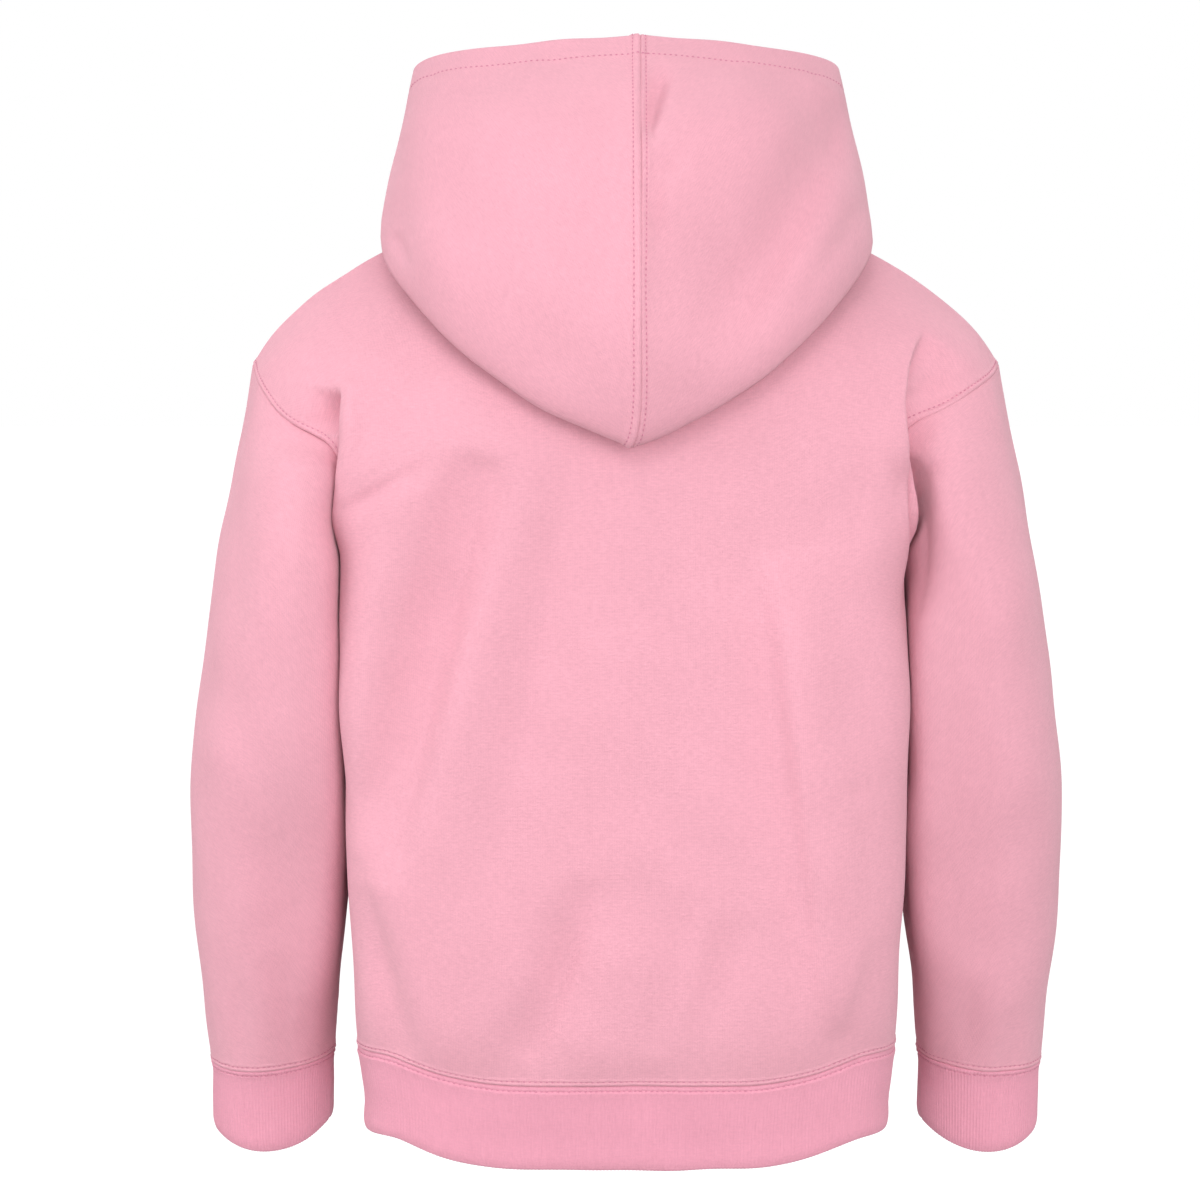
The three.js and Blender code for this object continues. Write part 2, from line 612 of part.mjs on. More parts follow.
// `closed` grids go all the way round, `flip` turns the faces of those whose rows and
// columns run the other way about, and `open` names the edge that no seam closes.
const PANEL = { closed: false, open: [], wall: fleeceWall, material: FLEECE };
const TUBE = { closed: true, open: [], wall: fleeceWall, material: FLEECE };
const HOOD = { closed: false, open: ['end'], wall: rimWall, material: FLEECE };
const BAND = { closed: true, open: ['end'], wall: ribWall, material: RIB };
const PIECES = [
  { name: 'back', rows: back, flip: true, ...PANEL },
  { name: 'front', rows: front, flip: false, ...PANEL },
  { name: 'sleeve_left', rows: sleeveLeft, flip: true, ...TUBE },
  { name: 'sleeve_right', rows: sleeveRight, flip: false, ...TUBE },
  { name: 'hood_left', rows: hoodHalf(1), flip: false, ...HOOD },
  { name: 'hood_right', rows: hoodHalf(-1), flip: true, ...HOOD },
  { name: 'cuff_left', rows: cuff(sleeveLeft), flip: true, ...BAND },
  { name: 'cuff_right', rows: cuff(sleeveRight), flip: false, ...BAND },
  { name: 'waistband', rows: waistband, flip: false, ...BAND },
];

const hoodie = new THREE.Group();
const normals = sharedNormals(PIECES);
for (const piece of PIECES) {
  const material = new THREE.MeshStandardMaterial(piece.material);
  const mesh = new THREE.Mesh(wallGeometry(piece, normals), material);
  mesh.name = piece.name;
  hoodie.add(mesh);
}

export default hoodie;
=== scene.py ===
"""A child's pullover hoodie in pink brushed fleece, worn-full with nobody in it.

Each piece of cloth is rebuilt on the form of its CAD wall: the same sections and curves
give a coarse grid, a spline refines it, and creases, seams, ribs and puckers are laid on
the fine grid. Sections and creases are in millimetres in the CAD frame (+Z up, the front
faces -Y, z = 0 at the high shoulder points); meshes, camera and lights are in metres.
"""

import math

import bpy
import numpy as np
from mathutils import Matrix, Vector
from numpy.linalg import norm


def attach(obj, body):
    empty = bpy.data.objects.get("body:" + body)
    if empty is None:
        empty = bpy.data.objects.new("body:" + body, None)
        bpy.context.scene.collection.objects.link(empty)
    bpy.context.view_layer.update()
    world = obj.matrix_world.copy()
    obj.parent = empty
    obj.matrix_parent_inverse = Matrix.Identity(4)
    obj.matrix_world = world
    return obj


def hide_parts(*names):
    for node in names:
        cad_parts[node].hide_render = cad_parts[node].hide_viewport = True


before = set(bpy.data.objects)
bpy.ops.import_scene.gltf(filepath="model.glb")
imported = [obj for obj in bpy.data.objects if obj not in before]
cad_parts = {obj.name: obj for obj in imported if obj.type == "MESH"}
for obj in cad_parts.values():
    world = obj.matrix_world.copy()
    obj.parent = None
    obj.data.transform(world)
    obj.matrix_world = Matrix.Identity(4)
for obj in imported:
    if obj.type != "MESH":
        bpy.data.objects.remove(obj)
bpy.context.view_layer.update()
MM = 0.001
SIDES, FACES = ("left", "right"), ("back", "front")
rng = np.random.default_rng(20)

# -------- curves and tables


def smoothstep(x, low, high):
    t = np.clip((np.asarray(x, float) - low) / (high - low), 0, 1)
    return t * t * (3 - 2 * t)


def stretch(x, rise, fall):
    """1 from the end of `rise` to the start of `fall`, and 0 outside both."""
    return smoothstep(x, *rise) * (1 - smoothstep(x, *fall))


def table(names, *rows):
    """A short table as its named columns."""
    return dict(zip(names.split(), np.array(rows, float).T))


def column(tab, key, at, name):
    """Smooth value of one named column, by the key column."""
    k, v = tab[key], tab[name]
    slope = np.gradient(v)
    slope[0] = (v[1] - v[0]) / (k[1] - k[0])
    slope[-1] = (v[-1] - v[-2]) / (k[-1] - k[-2])
    slope[1:-1] = (v[2:] - v[:-2]) / (k[2:] - k[:-2])
    at = np.asarray(at, float)
    i = np.searchsorted(k[1:-1], at, side="left")
    step = k[i + 1] - k[i]
    t = np.clip((at - k[i]) / step, 0, 1)
    rise = v[i + 1] - v[i]
    near, far = slope[i] * step, slope[i + 1] * step
    return v[i] + near * t + (3 * rise - 2 * near - far) * t**2 + (near + far - 2 * rise) * t**3


def bezier(p0, p1, p2, p3, t):
    t = np.asarray(t, float)[..., None]
    p0, p1, p2, p3 = (np.asarray(p, float) for p in (p0, p1, p2, p3))
    return (1 - t) ** 3 * p0 + 3 * (1 - t) ** 2 * t * p1 + 3 * (1 - t) * t**2 * p2 + t**3 * p3


def catmull(points, t):
    """Centripetal Catmull-Rom curve through points; t from 0 to 1, evenly over its stretches."""
    points = np.asarray(points, float)
    ends = 2 * points[[0, -1]] - points[[1, -2]]
    p = np.vstack([ends[:1], points, ends[1:]])
    place = np.atleast_1d(t) * (len(points) - 1)
    i = np.minimum(place.astype(int), len(points) - 2)
    w = (place - i)[:, None]
    p0, p1, p2, p3 = p[i], p[i + 1], p[i + 2], p[i + 3]
    d0, d1, d2 = (np.sqrt(norm(b - a, axis=1))[:, None]
                  for a, b in ((p0, p1), (p1, p2), (p2, p3)))
    m1 = ((p1 - p0) / d0 - (p2 - p0) / (d0 + d1) + (p2 - p1) / d1) * d1
    m2 = ((p2 - p1) / d1 - (p3 - p1) / (d1 + d2) + (p3 - p2) / d2) * d1
    return p1 + m1 * w + (3 * (p2 - p1) - 2 * m1 - m2) * w**2 + (2 * (p1 - p2) + m1 + m2) * w**3


def catmull_even(points, share):
    """The same curve by shares of its length."""
    t = np.linspace(0, 1, 201)
    walked = lengths(catmull(points, t))
    return catmull(points, np.interp(np.asarray(share) * walked[-1], walked, t))


def lengths(points):
    """Distance walked along a line of points, from 0."""
    steps = norm(np.diff(points[..., :3], axis=0), axis=-1)
    return np.concatenate([np.zeros_like(steps[:1]), np.cumsum(steps, axis=0)])


# -------- the form, as in the CAD

NECK_COLUMNS = 7
PANEL_COLUMNS = 14
ARMHOLE_ROWS = 14
SIDE_ROWS = 11
CAP_ROWS = 7
ARM_ROWS = 11
NECK_HALF_WIDTH = 80
NECK = {"back": (62, 15), "front": (-76, 42)}  # how far the centre lies out, and down

FOLDS = {name: table("from_x from_z to_x to_z width depth", *rows) for name, rows in {
    "back": [
        (84, -150, 140, -330, 17, 6), (118, -140, 152, -160, 9, 3), (32, -170, 66, -330, 18, 2.5),
        (12, -385, 46, -462, 13, 4), (140, -410, 122, -465, 11, 3), (-94, -230, -122, -430, 15, -3.5),
        (-60, -400, -42, -462, 14, 2.5), (-176, -86, -156, -150, 8, 8), (166, -108, 156, -140, 8, 4)],
    "front": [
        (-70, -150, -134, -300, 18, 5), (88, -160, 138, -290, 16, 4), (-20, -360, -62, -455, 16, 3.5),
        (38, -330, 22, -450, 15, 2.5), (112, -380, 128, -458, 12, 3), (174, -90, 158, -145, 9, 5),
        (-172, -92, -158, -142, 9, 4)],
    "hood": [
        (-118, 62, -36, -34, 24, 7), (-10, 84, -6, 30, 10, 3), (96, -30, 40, -62, 22, -3),
        (70, 70, 84, 20, 24, 3)],
}.items()}
FOLD_FACING = (10, 50)  # how far out, to the front or back, the folds set in

TORSO = table("z back front flat corner_x corner_y side",
    (-484, 90, 92, 146, 160, 78, 149),
    (-470, 96, 98, 148, 163, 86, 148),
    (-420, 101, 104, 148, 168, 96, 147),
    (-340, 102, 106, 150, 174, 106, 147),
    (-260, 102, 104, 150, 174, 110, 149),
    (-198, 100, 102, 150, 160, 108, 154))
UNDERARM_Z = -198
WAIST_SEAM_Z = -484
SEAM_LIFT = 15
LIFT_FROM, LIFT_FULL = 0.16, 0.55
LIFT_TOP_Z = -380
RELAX_PASSES, RELAX_SHARE, RELAX_ROWS, RELAX_COLUMNS = 14, 0.8, (-3, 2), (-6, -1)
CENTRE = {
    "back": [(0, 100, -198), (0, 99, -130), (0, 88, -66), (0, 62, -15)],
    "front": [(0, -102, -198), (0, -104, -140), (0, -94, -84), (0, -76, -42)],
}
SHOULDER = [(80, 0, 0), (124, -2, -12), (188, -6, -44), (212, -8, -87)]
TIP, UNDERARM = (212, -8, -87), (154, 0, -198)
FRONT_ARMHOLE = [TIP, (204, -34, -100), (187, -56, -118), (162, -68, -138), (156, -48, -174),
                 UNDERARM]
ARMHOLE = {  # the right one has ridden up on the back
    "back_left": [TIP, (206, 22, -98), (191, 46, -115), (162, 64, -133), (156, 48, -172), UNDERARM],
    "back_right": [TIP, (206, 20, -93), (189, 44, -103), (160, 66, -121), (155, 50, -167), UNDERARM],
    "front_left": FRONT_ARMHOLE,
    "front_right": FRONT_ARMHOLE,
}
# The body bulges out over the lower half of an armhole: how far, where across, how far up.
LIP_OUT = {"back": 7.5, "front": 4}
LIP_SETS, LIP_ENDS, LIP_FROM, LIP_TO = (0.58, 0.82), (0.84, 0.96), (0, 0.22), (0.42, 0.62)
SLEEVE = table("z outer inner centre depth tilt sag flat",
    (-492, 241, 169, -28, 37, 3, 4, 0),
    (-455, 244, 167, -22, 45, 3, 2, 0.3),
    (-410, 248, 162, -15, 52, 2, 1, 0.55),
    (-355, 250, 158.5, -9, 60, 1, 0, 0.64),
    (-310, 248, 158.5, -4, 66, 1, 0, 0.66),
    (-255, 241, 157.5, 0, 69, 0, 0, 0.66))
SLEEVE_TOP_Z = -255
JUST_BELOW = 10  # gives the way in which the cap arrives at the sleeve's top
# The way in which the cap leaves the armhole: out, more at the middle, to front or back, down.
LEAVE_OUT, LEAVE_MORE, LEAVE_SPREAD, LEAVE_DOWN = 0.18, 0.25, 0.4, -0.95
CUFF_SEAM_Z = -492
CUFF = table("drop wide deep",
    (0, 1, 1), (6, 0.975, 0.93), (18, 0.972, 0.87), (34, 0.972, 0.84), (44, 0.965, 0.82), (49, 0.93, 0.76))
WAISTBAND = table("drop wide deep",
    (0, 1, 1), (7, 0.985, 0.975), (20, 0.98, 0.965), (36, 0.978, 0.955), (45, 0.978, 0.945),
    (49, 0.97, 0.925))
CUFF_RISE = 0.17
WAISTBAND_RISE = 0.012

RAILS = {name: table("u x y z", *rows) for name, rows in {
    "ridge": [
        (0, 0, -79, -38), (0.15, 42, -75, -19), (0.3, 76, -51, 7), (0.5, 92, -4, 22),
        (0.75, 66, 52, 20), (1, 0, 79, 12)],
    "lower": [
        (0, 0, -80.5, -35), (0.15, 45, -80, -13), (0.3, 87, -60, 5), (0.5, 114, -8, -3),
        (0.75, 84, 73, -28), (1, 0, 98, -60)],
    "fold": [
        (0, 0, -82, -32), (0.15, 49, -84, -8), (0.3, 100, -69, -7), (0.5, 134, -12, -12),
        (0.65, 132, 42, -32), (0.8, 90, 92, -77), (0.9, 49, 108, -107), (1, 0, 113, -128)],
    "bulge": [
        (0, 0, -84, -28), (0.15, 51, -87, -1), (0.3, 105, -68, 9), (0.5, 134, -14, 8),
        (0.65, 131, 42, -4), (0.8, 98, 98, -38), (1, 0, 136, -62)],
    "upper": [
        (0, 0, -85.5, -25), (0.15, 51, -88, 6), (0.3, 99, -66, 22), (0.5, 126, -26, 44),
        (0.7, 117, 42, 48), (0.85, 72, 90, 40), (1, 0, 108, 32)],
    "rim": [
        (0, 0, -87, -21), (0.15, 48, -86, 14), (0.3, 86, -68, 34), (0.5, 115, -40, 68),
        (0.65, 119, -8, 83), (0.8, 82, 24, 91), (1, 0, 40, 98)],
}.items()}
FOLD_RADIUS = table("u ridge fold", (0, 0, 0), (0.12, 0, 0), (0.3, 4, 6), (0.5, 5, 7), (1, 5, 8))
HOOD_STRETCHES = (1, 1, 1, 4, 4, 2, 2, 4, 4, 4)
HOOD_PRESS_ROW = 15
# The hood's centre seam has slipped to the wearer's right: how far, from which u, over which rows.
SLIP_X, SLIP_FROM_U, SLIP_ROWS = -7.5, 0.78, (11, 17)
FRONT_RELAX_PASSES, FRONT_RELAX, FRONT_EVEN = 8, (3, 7), (2, 6)  # by columns from the front


def fold_depth(folds, x, z):
    total = np.zeros_like(x)
    for from_x, from_z, to_x, to_z, width, depth in zip(*folds.values()):
        along = np.array([to_x - from_x, to_z - from_z])
        share = ((x - from_x) * along[0] + (z - from_z) * along[1]) / (along @ along)
        t = np.clip(share, 0, 1)
        off = np.hypot(x - from_x - t * along[0], z - from_z - t * along[1])
        total += depth * np.exp(-((off / width) ** 2))
    return total


def press_folds(grid, folds, inward, first_row=1):
    inner = grid[first_row:-1, 1:-1]
    facing = smoothstep(-inward * inner[..., 1], *FOLD_FACING)
    inner[..., 1] += inward * facing * fold_depth(folds, inner[..., 0], inner[..., 2])
    return grid


def relax(grid, passes, share):
    for _ in range(passes):
        mean = (grid[:-2, 1:-1] + grid[2:, 1:-1] + grid[1:-1, :-2] + grid[1:-1, 2:]) / 4
        grid[1:-1, 1:-1] += (mean - grid[1:-1, 1:-1]) * share[1:-1, 1:-1, None]
    return grid


def neck_line(face, t):
    turn = np.asarray(t) * math.pi / 2
    out, drop = NECK[face]
    return np.stack([NECK_HALF_WIDTH * np.sin(turn), out * np.cos(turn), -drop * np.cos(turn)], -1)


def torso_row(face, z, s):
    sign = 1 if face == "back" else -1
    depth, flat, corner_x, corner_y, side = (
        column(TORSO, "z", z, name) for name in (face, "flat", "corner_x", "corner_y", "side"))
    depth = sign * depth
    row = bezier((0, depth, z), (flat, depth, z), (corner_x, sign * corner_y, z), (side, 0, z), s)
    lift = SEAM_LIFT * smoothstep(s, LIFT_FROM, LIFT_FULL)
    row[:, 2] += lift * (1 - smoothstep(z, WAIST_SEAM_Z, LIFT_TOP_Z))
    return row


def upper_row(face, side, s, t):
    low = torso_row(face, UNDERARM_Z, s)
    split = NECK_COLUMNS / PANEL_COLUMNS
    neck = neck_line(face, np.minimum(s / split, 1))
    shoulder = bezier(*SHOULDER, np.clip((s - split) / (1 - split), 0, 1))
    top = np.where((s <= split)[:, None], neck, shoulder)
    centre = catmull_even(CENTRE[face], t)
    edge = catmull_even(ARMHOLE[f"{face}_{side}"], 1 - t)
    s = s[:, None]
    corners = (low[0] * (1 - s) + low[-1] * s) * (1 - t) + (top[0] * (1 - s) + top[-1] * s) * t
    return low * (1 - t) + top * t + centre * (1 - s) + edge * s - corners


def body_panel(face):
    """Front or back: rows from the waistband seam up, columns from right to left."""
    s = np.arange(PANEL_COLUMNS + 1) / PANEL_COLUMNS
    heights = np.linspace(WAIST_SEAM_Z, UNDERARM_Z, SIDE_ROWS + 1)
    climbs = np.arange(1, ARMHOLE_ROWS + 1) / ARMHOLE_ROWS
    halves = [np.array([torso_row(face, z, s) for z in heights]
                       + [upper_row(face, side, s, t) for t in climbs]) for side in SIDES]
    halves[1][..., 0] *= -1
    grid = np.concatenate([halves[1][:, :0:-1], halves[0]], axis=1)
    r, c = np.indices(grid.shape[:2])
    share = RELAX_SHARE * smoothstep(r - SIDE_ROWS, *RELAX_ROWS)
    share *= 1 - smoothstep(np.abs(c - PANEL_COLUMNS) - PANEL_COLUMNS, *RELAX_COLUMNS)
    relax(grid, RELAX_PASSES, share)
    across = np.abs(c / PANEL_COLUMNS - 1)
    climb = (r - SIDE_ROWS) / ARMHOLE_ROWS
    lip = stretch(across, LIP_SETS, LIP_ENDS) * stretch(climb, LIP_FROM, LIP_TO)
    grid[..., 0] += LIP_OUT[face] * lip * np.sign(c - PANEL_COLUMNS)
    return press_folds(grid, FOLDS[face], -1 if face == "back" else 1)


def sleeve_section(z, turn):
    outer, inner, centre, depth, tilt, sag, flat = (
        column(SLEEVE, "z", z, name) for name in list(SLEEVE)[1:])
    across, deep = np.cos(turn), np.sin(turn)
    pressed = np.where(across < 0, flat, 0)  # against the body
    x = (outer + inner) / 2 + across * (1 + pressed * deep**2) * (outer - inner) / 2
    y = centre + depth * deep * (1 + pressed * across**2)
    return np.stack([x, y, z + sag * across**2 - tilt * across], -1)


def sleeve(side):
    """Rows from the armhole to the cuff seam, columns once round from the shoulder tip."""
    turn = np.arange(2 * ARMHOLE_ROWS) / ARMHOLE_ROWS * math.pi
    shares = np.arange(2 * ARMHOLE_ROWS) / ARMHOLE_ROWS
    start = np.where((shares <= 1)[:, None],
                     catmull_even(ARMHOLE[f"back_{side}"], np.minimum(shares, 1)),
                     catmull_even(ARMHOLE[f"front_{side}"], np.clip(2 - shares, 0, 1)))
    end = sleeve_section(SLEEVE_TOP_Z, turn)
    reach = norm(start - end, axis=1)[:, None]
    deep = np.sin(turn)
    leave = np.stack([LEAVE_OUT + LEAVE_MORE * deep**2, LEAVE_SPREAD * deep,
                      np.full_like(deep, LEAVE_DOWN)], -1)
    arrive = sleeve_section(SLEEVE_TOP_Z - JUST_BELOW, turn) - end
    arrive *= reach / norm(arrive, axis=1)[:, None]
    rows = [bezier(start, start + leave * reach / 3, end - arrive / 3, end, np.full(len(turn), t))
            for t in np.arange(CAP_ROWS + 1) / CAP_ROWS]
    heights = np.linspace(SLEEVE_TOP_Z, CUFF_SEAM_Z, ARM_ROWS + 1)[1:]
    rows += [sleeve_section(z, turn) for z in heights]
    return np.array(rows) * (1 if side == "left" else -1, 1, 1)


def band_rows(ring, tab, side_rise):
    low, high = ring.min(0), ring.max(0)
    middle, half_width = (low + high) / 2, (high[0] - low[0]) / 2
    across, deep = ring[:, 0] - middle[0], ring[:, 1] - middle[1]
    rise = side_rise * (across / half_width) ** 2
    return np.array([
        np.stack([middle[0] + across * w, middle[1] + deep * d, ring[:, 2] - drop * (1 - rise)], -1)
        for drop, w, d in zip(*tab.values())])


def fold_shoulders(before, fold, after, radius):
    """Two points that round a fold off, on the side it comes from and the side it leaves by."""
    into = before + after - 2 * fold
    if radius < 0.5 or norm(into) < 1:
        return fold + 0.2 * (before - fold), fold + 0.2 * (after - fold)
    into = into / norm(into)
    side = after - before
    side = side - (side @ into) * into
    side = side / norm(side)
    base = fold + into * radius
    return base - side * radius, base + side * radius


def hood_section(u):
    neck = neck_line("front", 2 * u) if u <= 0.5 else neck_line("back", 2 - 2 * u)
    ridge, lower, fold, bulge, upper, rim = (
        np.array([column(rail, "u", u, axis) for axis in "xyz"]) for rail in RAILS.values())
    ridge_in, ridge_out = fold_shoulders(neck, ridge, lower, column(FOLD_RADIUS, "u", u, "ridge"))
    fold_in, fold_out = fold_shoulders(lower, fold, bulge, column(FOLD_RADIUS, "u", u, "fold"))
    return [neck, ridge_in, ridge, ridge_out, lower, fold_in, fold, fold_out, bulge, upper, rim]


def hood_half(side):
    """Rows from the neck seam to the rim, columns from centre front to centre back."""
    shares = np.array([(i + j / n) / len(HOOD_STRETCHES)
                       for i, n in enumerate(HOOD_STRETCHES) for j in range(n)] + [1])
    grid = np.empty((len(shares), 2 * NECK_COLUMNS + 1, 3))
    for c in range(grid.shape[1]):
        section = hood_section(c / (2 * NECK_COLUMNS))
        even = 1 - smoothstep(c, *FRONT_EVEN)
        grid[:, c] = catmull(section, shares) * (1 - even)
        grid[:, c] += catmull_even(section, np.linspace(0, 1, len(shares))) * even
    r, c = np.indices(grid.shape[:2])
    slip = SLIP_X * smoothstep(c / (2 * NECK_COLUMNS), SLIP_FROM_U, 1) * smoothstep(r, *SLIP_ROWS)
    grid[..., 0] = grid[..., 0] * side + slip
    relax(grid, FRONT_RELAX_PASSES, RELAX_SHARE * (1 - smoothstep(c, *FRONT_RELAX)))
    return press_folds(grid, FOLDS["hood"], -1, HOOD_PRESS_ROW)

# -------- cloth

PITCH = 3.2  # between the points of the fine grid
BAND_PITCH = 5.2  # between the rows of cuffs and waistband
CLOSEST = 0.3  # between two lines of the fine grid
RING_OVERLAP = 4  # columns that run on past a ring's seam
UV_NAME = "cloth"
FLEECE_WALL = 2.4
RIB_WALL = 3.0
HEM_WALL = 4.4
HEM_DEPTH = 20  # the hood's rim is turned in by this much
HEM_NEEDLE = HEM_DEPTH - 2
NEEDLE = 3.0  # a stitch row's distance from its seam
BAND_NEEDLE = 2.8
BACK_LAP, BACK_LAP_NEEDLE = 1.05, 4.4  # the hood's left half laps over the right
NEEDLE_DENT, DENT_WIDTH, HEM_DENT_WIDTH = 0.8, 0.55, 0.6  # the furrow under a stitch row
SEAM_DIP, SEAM_WIDTH = 0.2, 0.4
SEAM_END = 0.4  # grid rows over which a sewn stretch starts and ends
WHOLE_EDGE = (-9, 99)  # past the first and the last grid row
ALLOWANCE_RISE, ALLOWANCE_FALL = (0.1, 1.3), (0.3, 1.8)  # from the seam, and past the needle
PUCKER_WAVES, PUCKER_START, PUCKER_REACH = (9, 13, 21), (0, 3), 9
UNEVEN_HEIGHT = 0.35
# Where the fine grid has extra lines beside a seam or an open edge.
NEAR_EDGE = np.array([0, 0.45, 0.95, 1.5, 2.1, 2.7, 3.2, 3.7, 4.3, 5.2, 6.6, 8.6])


def spline(points, at):
    """Cubic spline through a line of points by their spacing, read at fractional counts."""
    walked = lengths(points)
    h = np.diff(walked)[:, None]
    n = len(points)
    system = np.eye(n)
    system[0, 1] = system[-1, -2] = -1
    change = np.zeros_like(points)
    for i in range(1, n - 1):
        before, after = h[i - 1, 0], h[i, 0]
        system[i, i - 1: i + 2] = before / 6, (before + after) / 3, after / 6
        change[i] = (points[i + 1] - points[i]) / after - (points[i] - points[i - 1]) / before
    bend = np.linalg.solve(system, change)
    i = np.minimum(at.astype(int), n - 2)
    b = (at - i)[:, None]
    a = 1 - b
    return (a * points[i] + b * points[i + 1]
            + ((a**3 - a) * bend[i] + (b**3 - b) * bend[i + 1]) * h[i] ** 2 / 6)


def fine_places(grid, pitch, extra=(), early=()):
    """Fractional row counts for fine rows, evenly spaced but closer beside both edges, and
    with extra rows at some distances from the last or the first."""
    walked = lengths(grid).mean(1)
    at = np.linspace(0, walked[-1], round(walked[-1] / pitch) + 1)
    reach = NEAR_EDGE[-1] + pitch / 2
    at = at[(at > reach) & (at < walked[-1] - reach)]
    parts = [NEAR_EDGE, at, walked[-1] - NEAR_EDGE, walked[-1] - np.array(extra), np.array(early)]
    at = np.unique(np.concatenate(parts))
    at = at[np.concatenate([[True], np.diff(at) > CLOSEST])]
    return np.interp(at, walked, np.arange(len(walked)))


def corner_normals(grid, flip):
    """At each point, the normals of the faces round it, weighted by their corner angles."""
    total = np.zeros_like(grid)
    parts = [np.s_[:-1, :-1], np.s_[:-1, 1:], np.s_[1:, 1:], np.s_[1:, :-1]]
    corners = [grid[part] for part in parts]
    for i, part in enumerate(parts):
        one, two = corners[(i + 1) % 4] - corners[i], corners[i - 1] - corners[i]
        cross = np.cross(one, two)
        size = norm(cross, axis=-1, keepdims=True)
        angle = np.arctan2(size, (one * two).sum(-1, keepdims=True))
        total[part] += cross / np.maximum(size, 1e-9) * angle * (-1 if flip else 1)
    return total


def share_normals(pieces):
    """One unit normal for each place, over all pieces, so that sewn edges agree."""
    found = {}
    keys = {name: [tuple(k) for k in np.round(grid * 100).astype(int).reshape(-1, 3)]
            for name, (grid, _) in pieces.items()}
    for name, (grid, flip) in pieces.items():
        for key, normal in zip(keys[name], corner_normals(grid, flip).reshape(-1, 3)):
            found[key] = found.get(key, 0) + normal
    shared = {}
    for name, (grid, _) in pieces.items():
        normals = np.array([found[key] for key in keys[name]])
        shared[name] = (normals / norm(normals, axis=1)[:, None]).reshape(grid.shape)
    return shared


def joined(ring_rows):
    """A ring's grid with its first column repeated at its end, where it is sewn together."""
    return np.concatenate([ring_rows, ring_rows[:, :1]], axis=1)


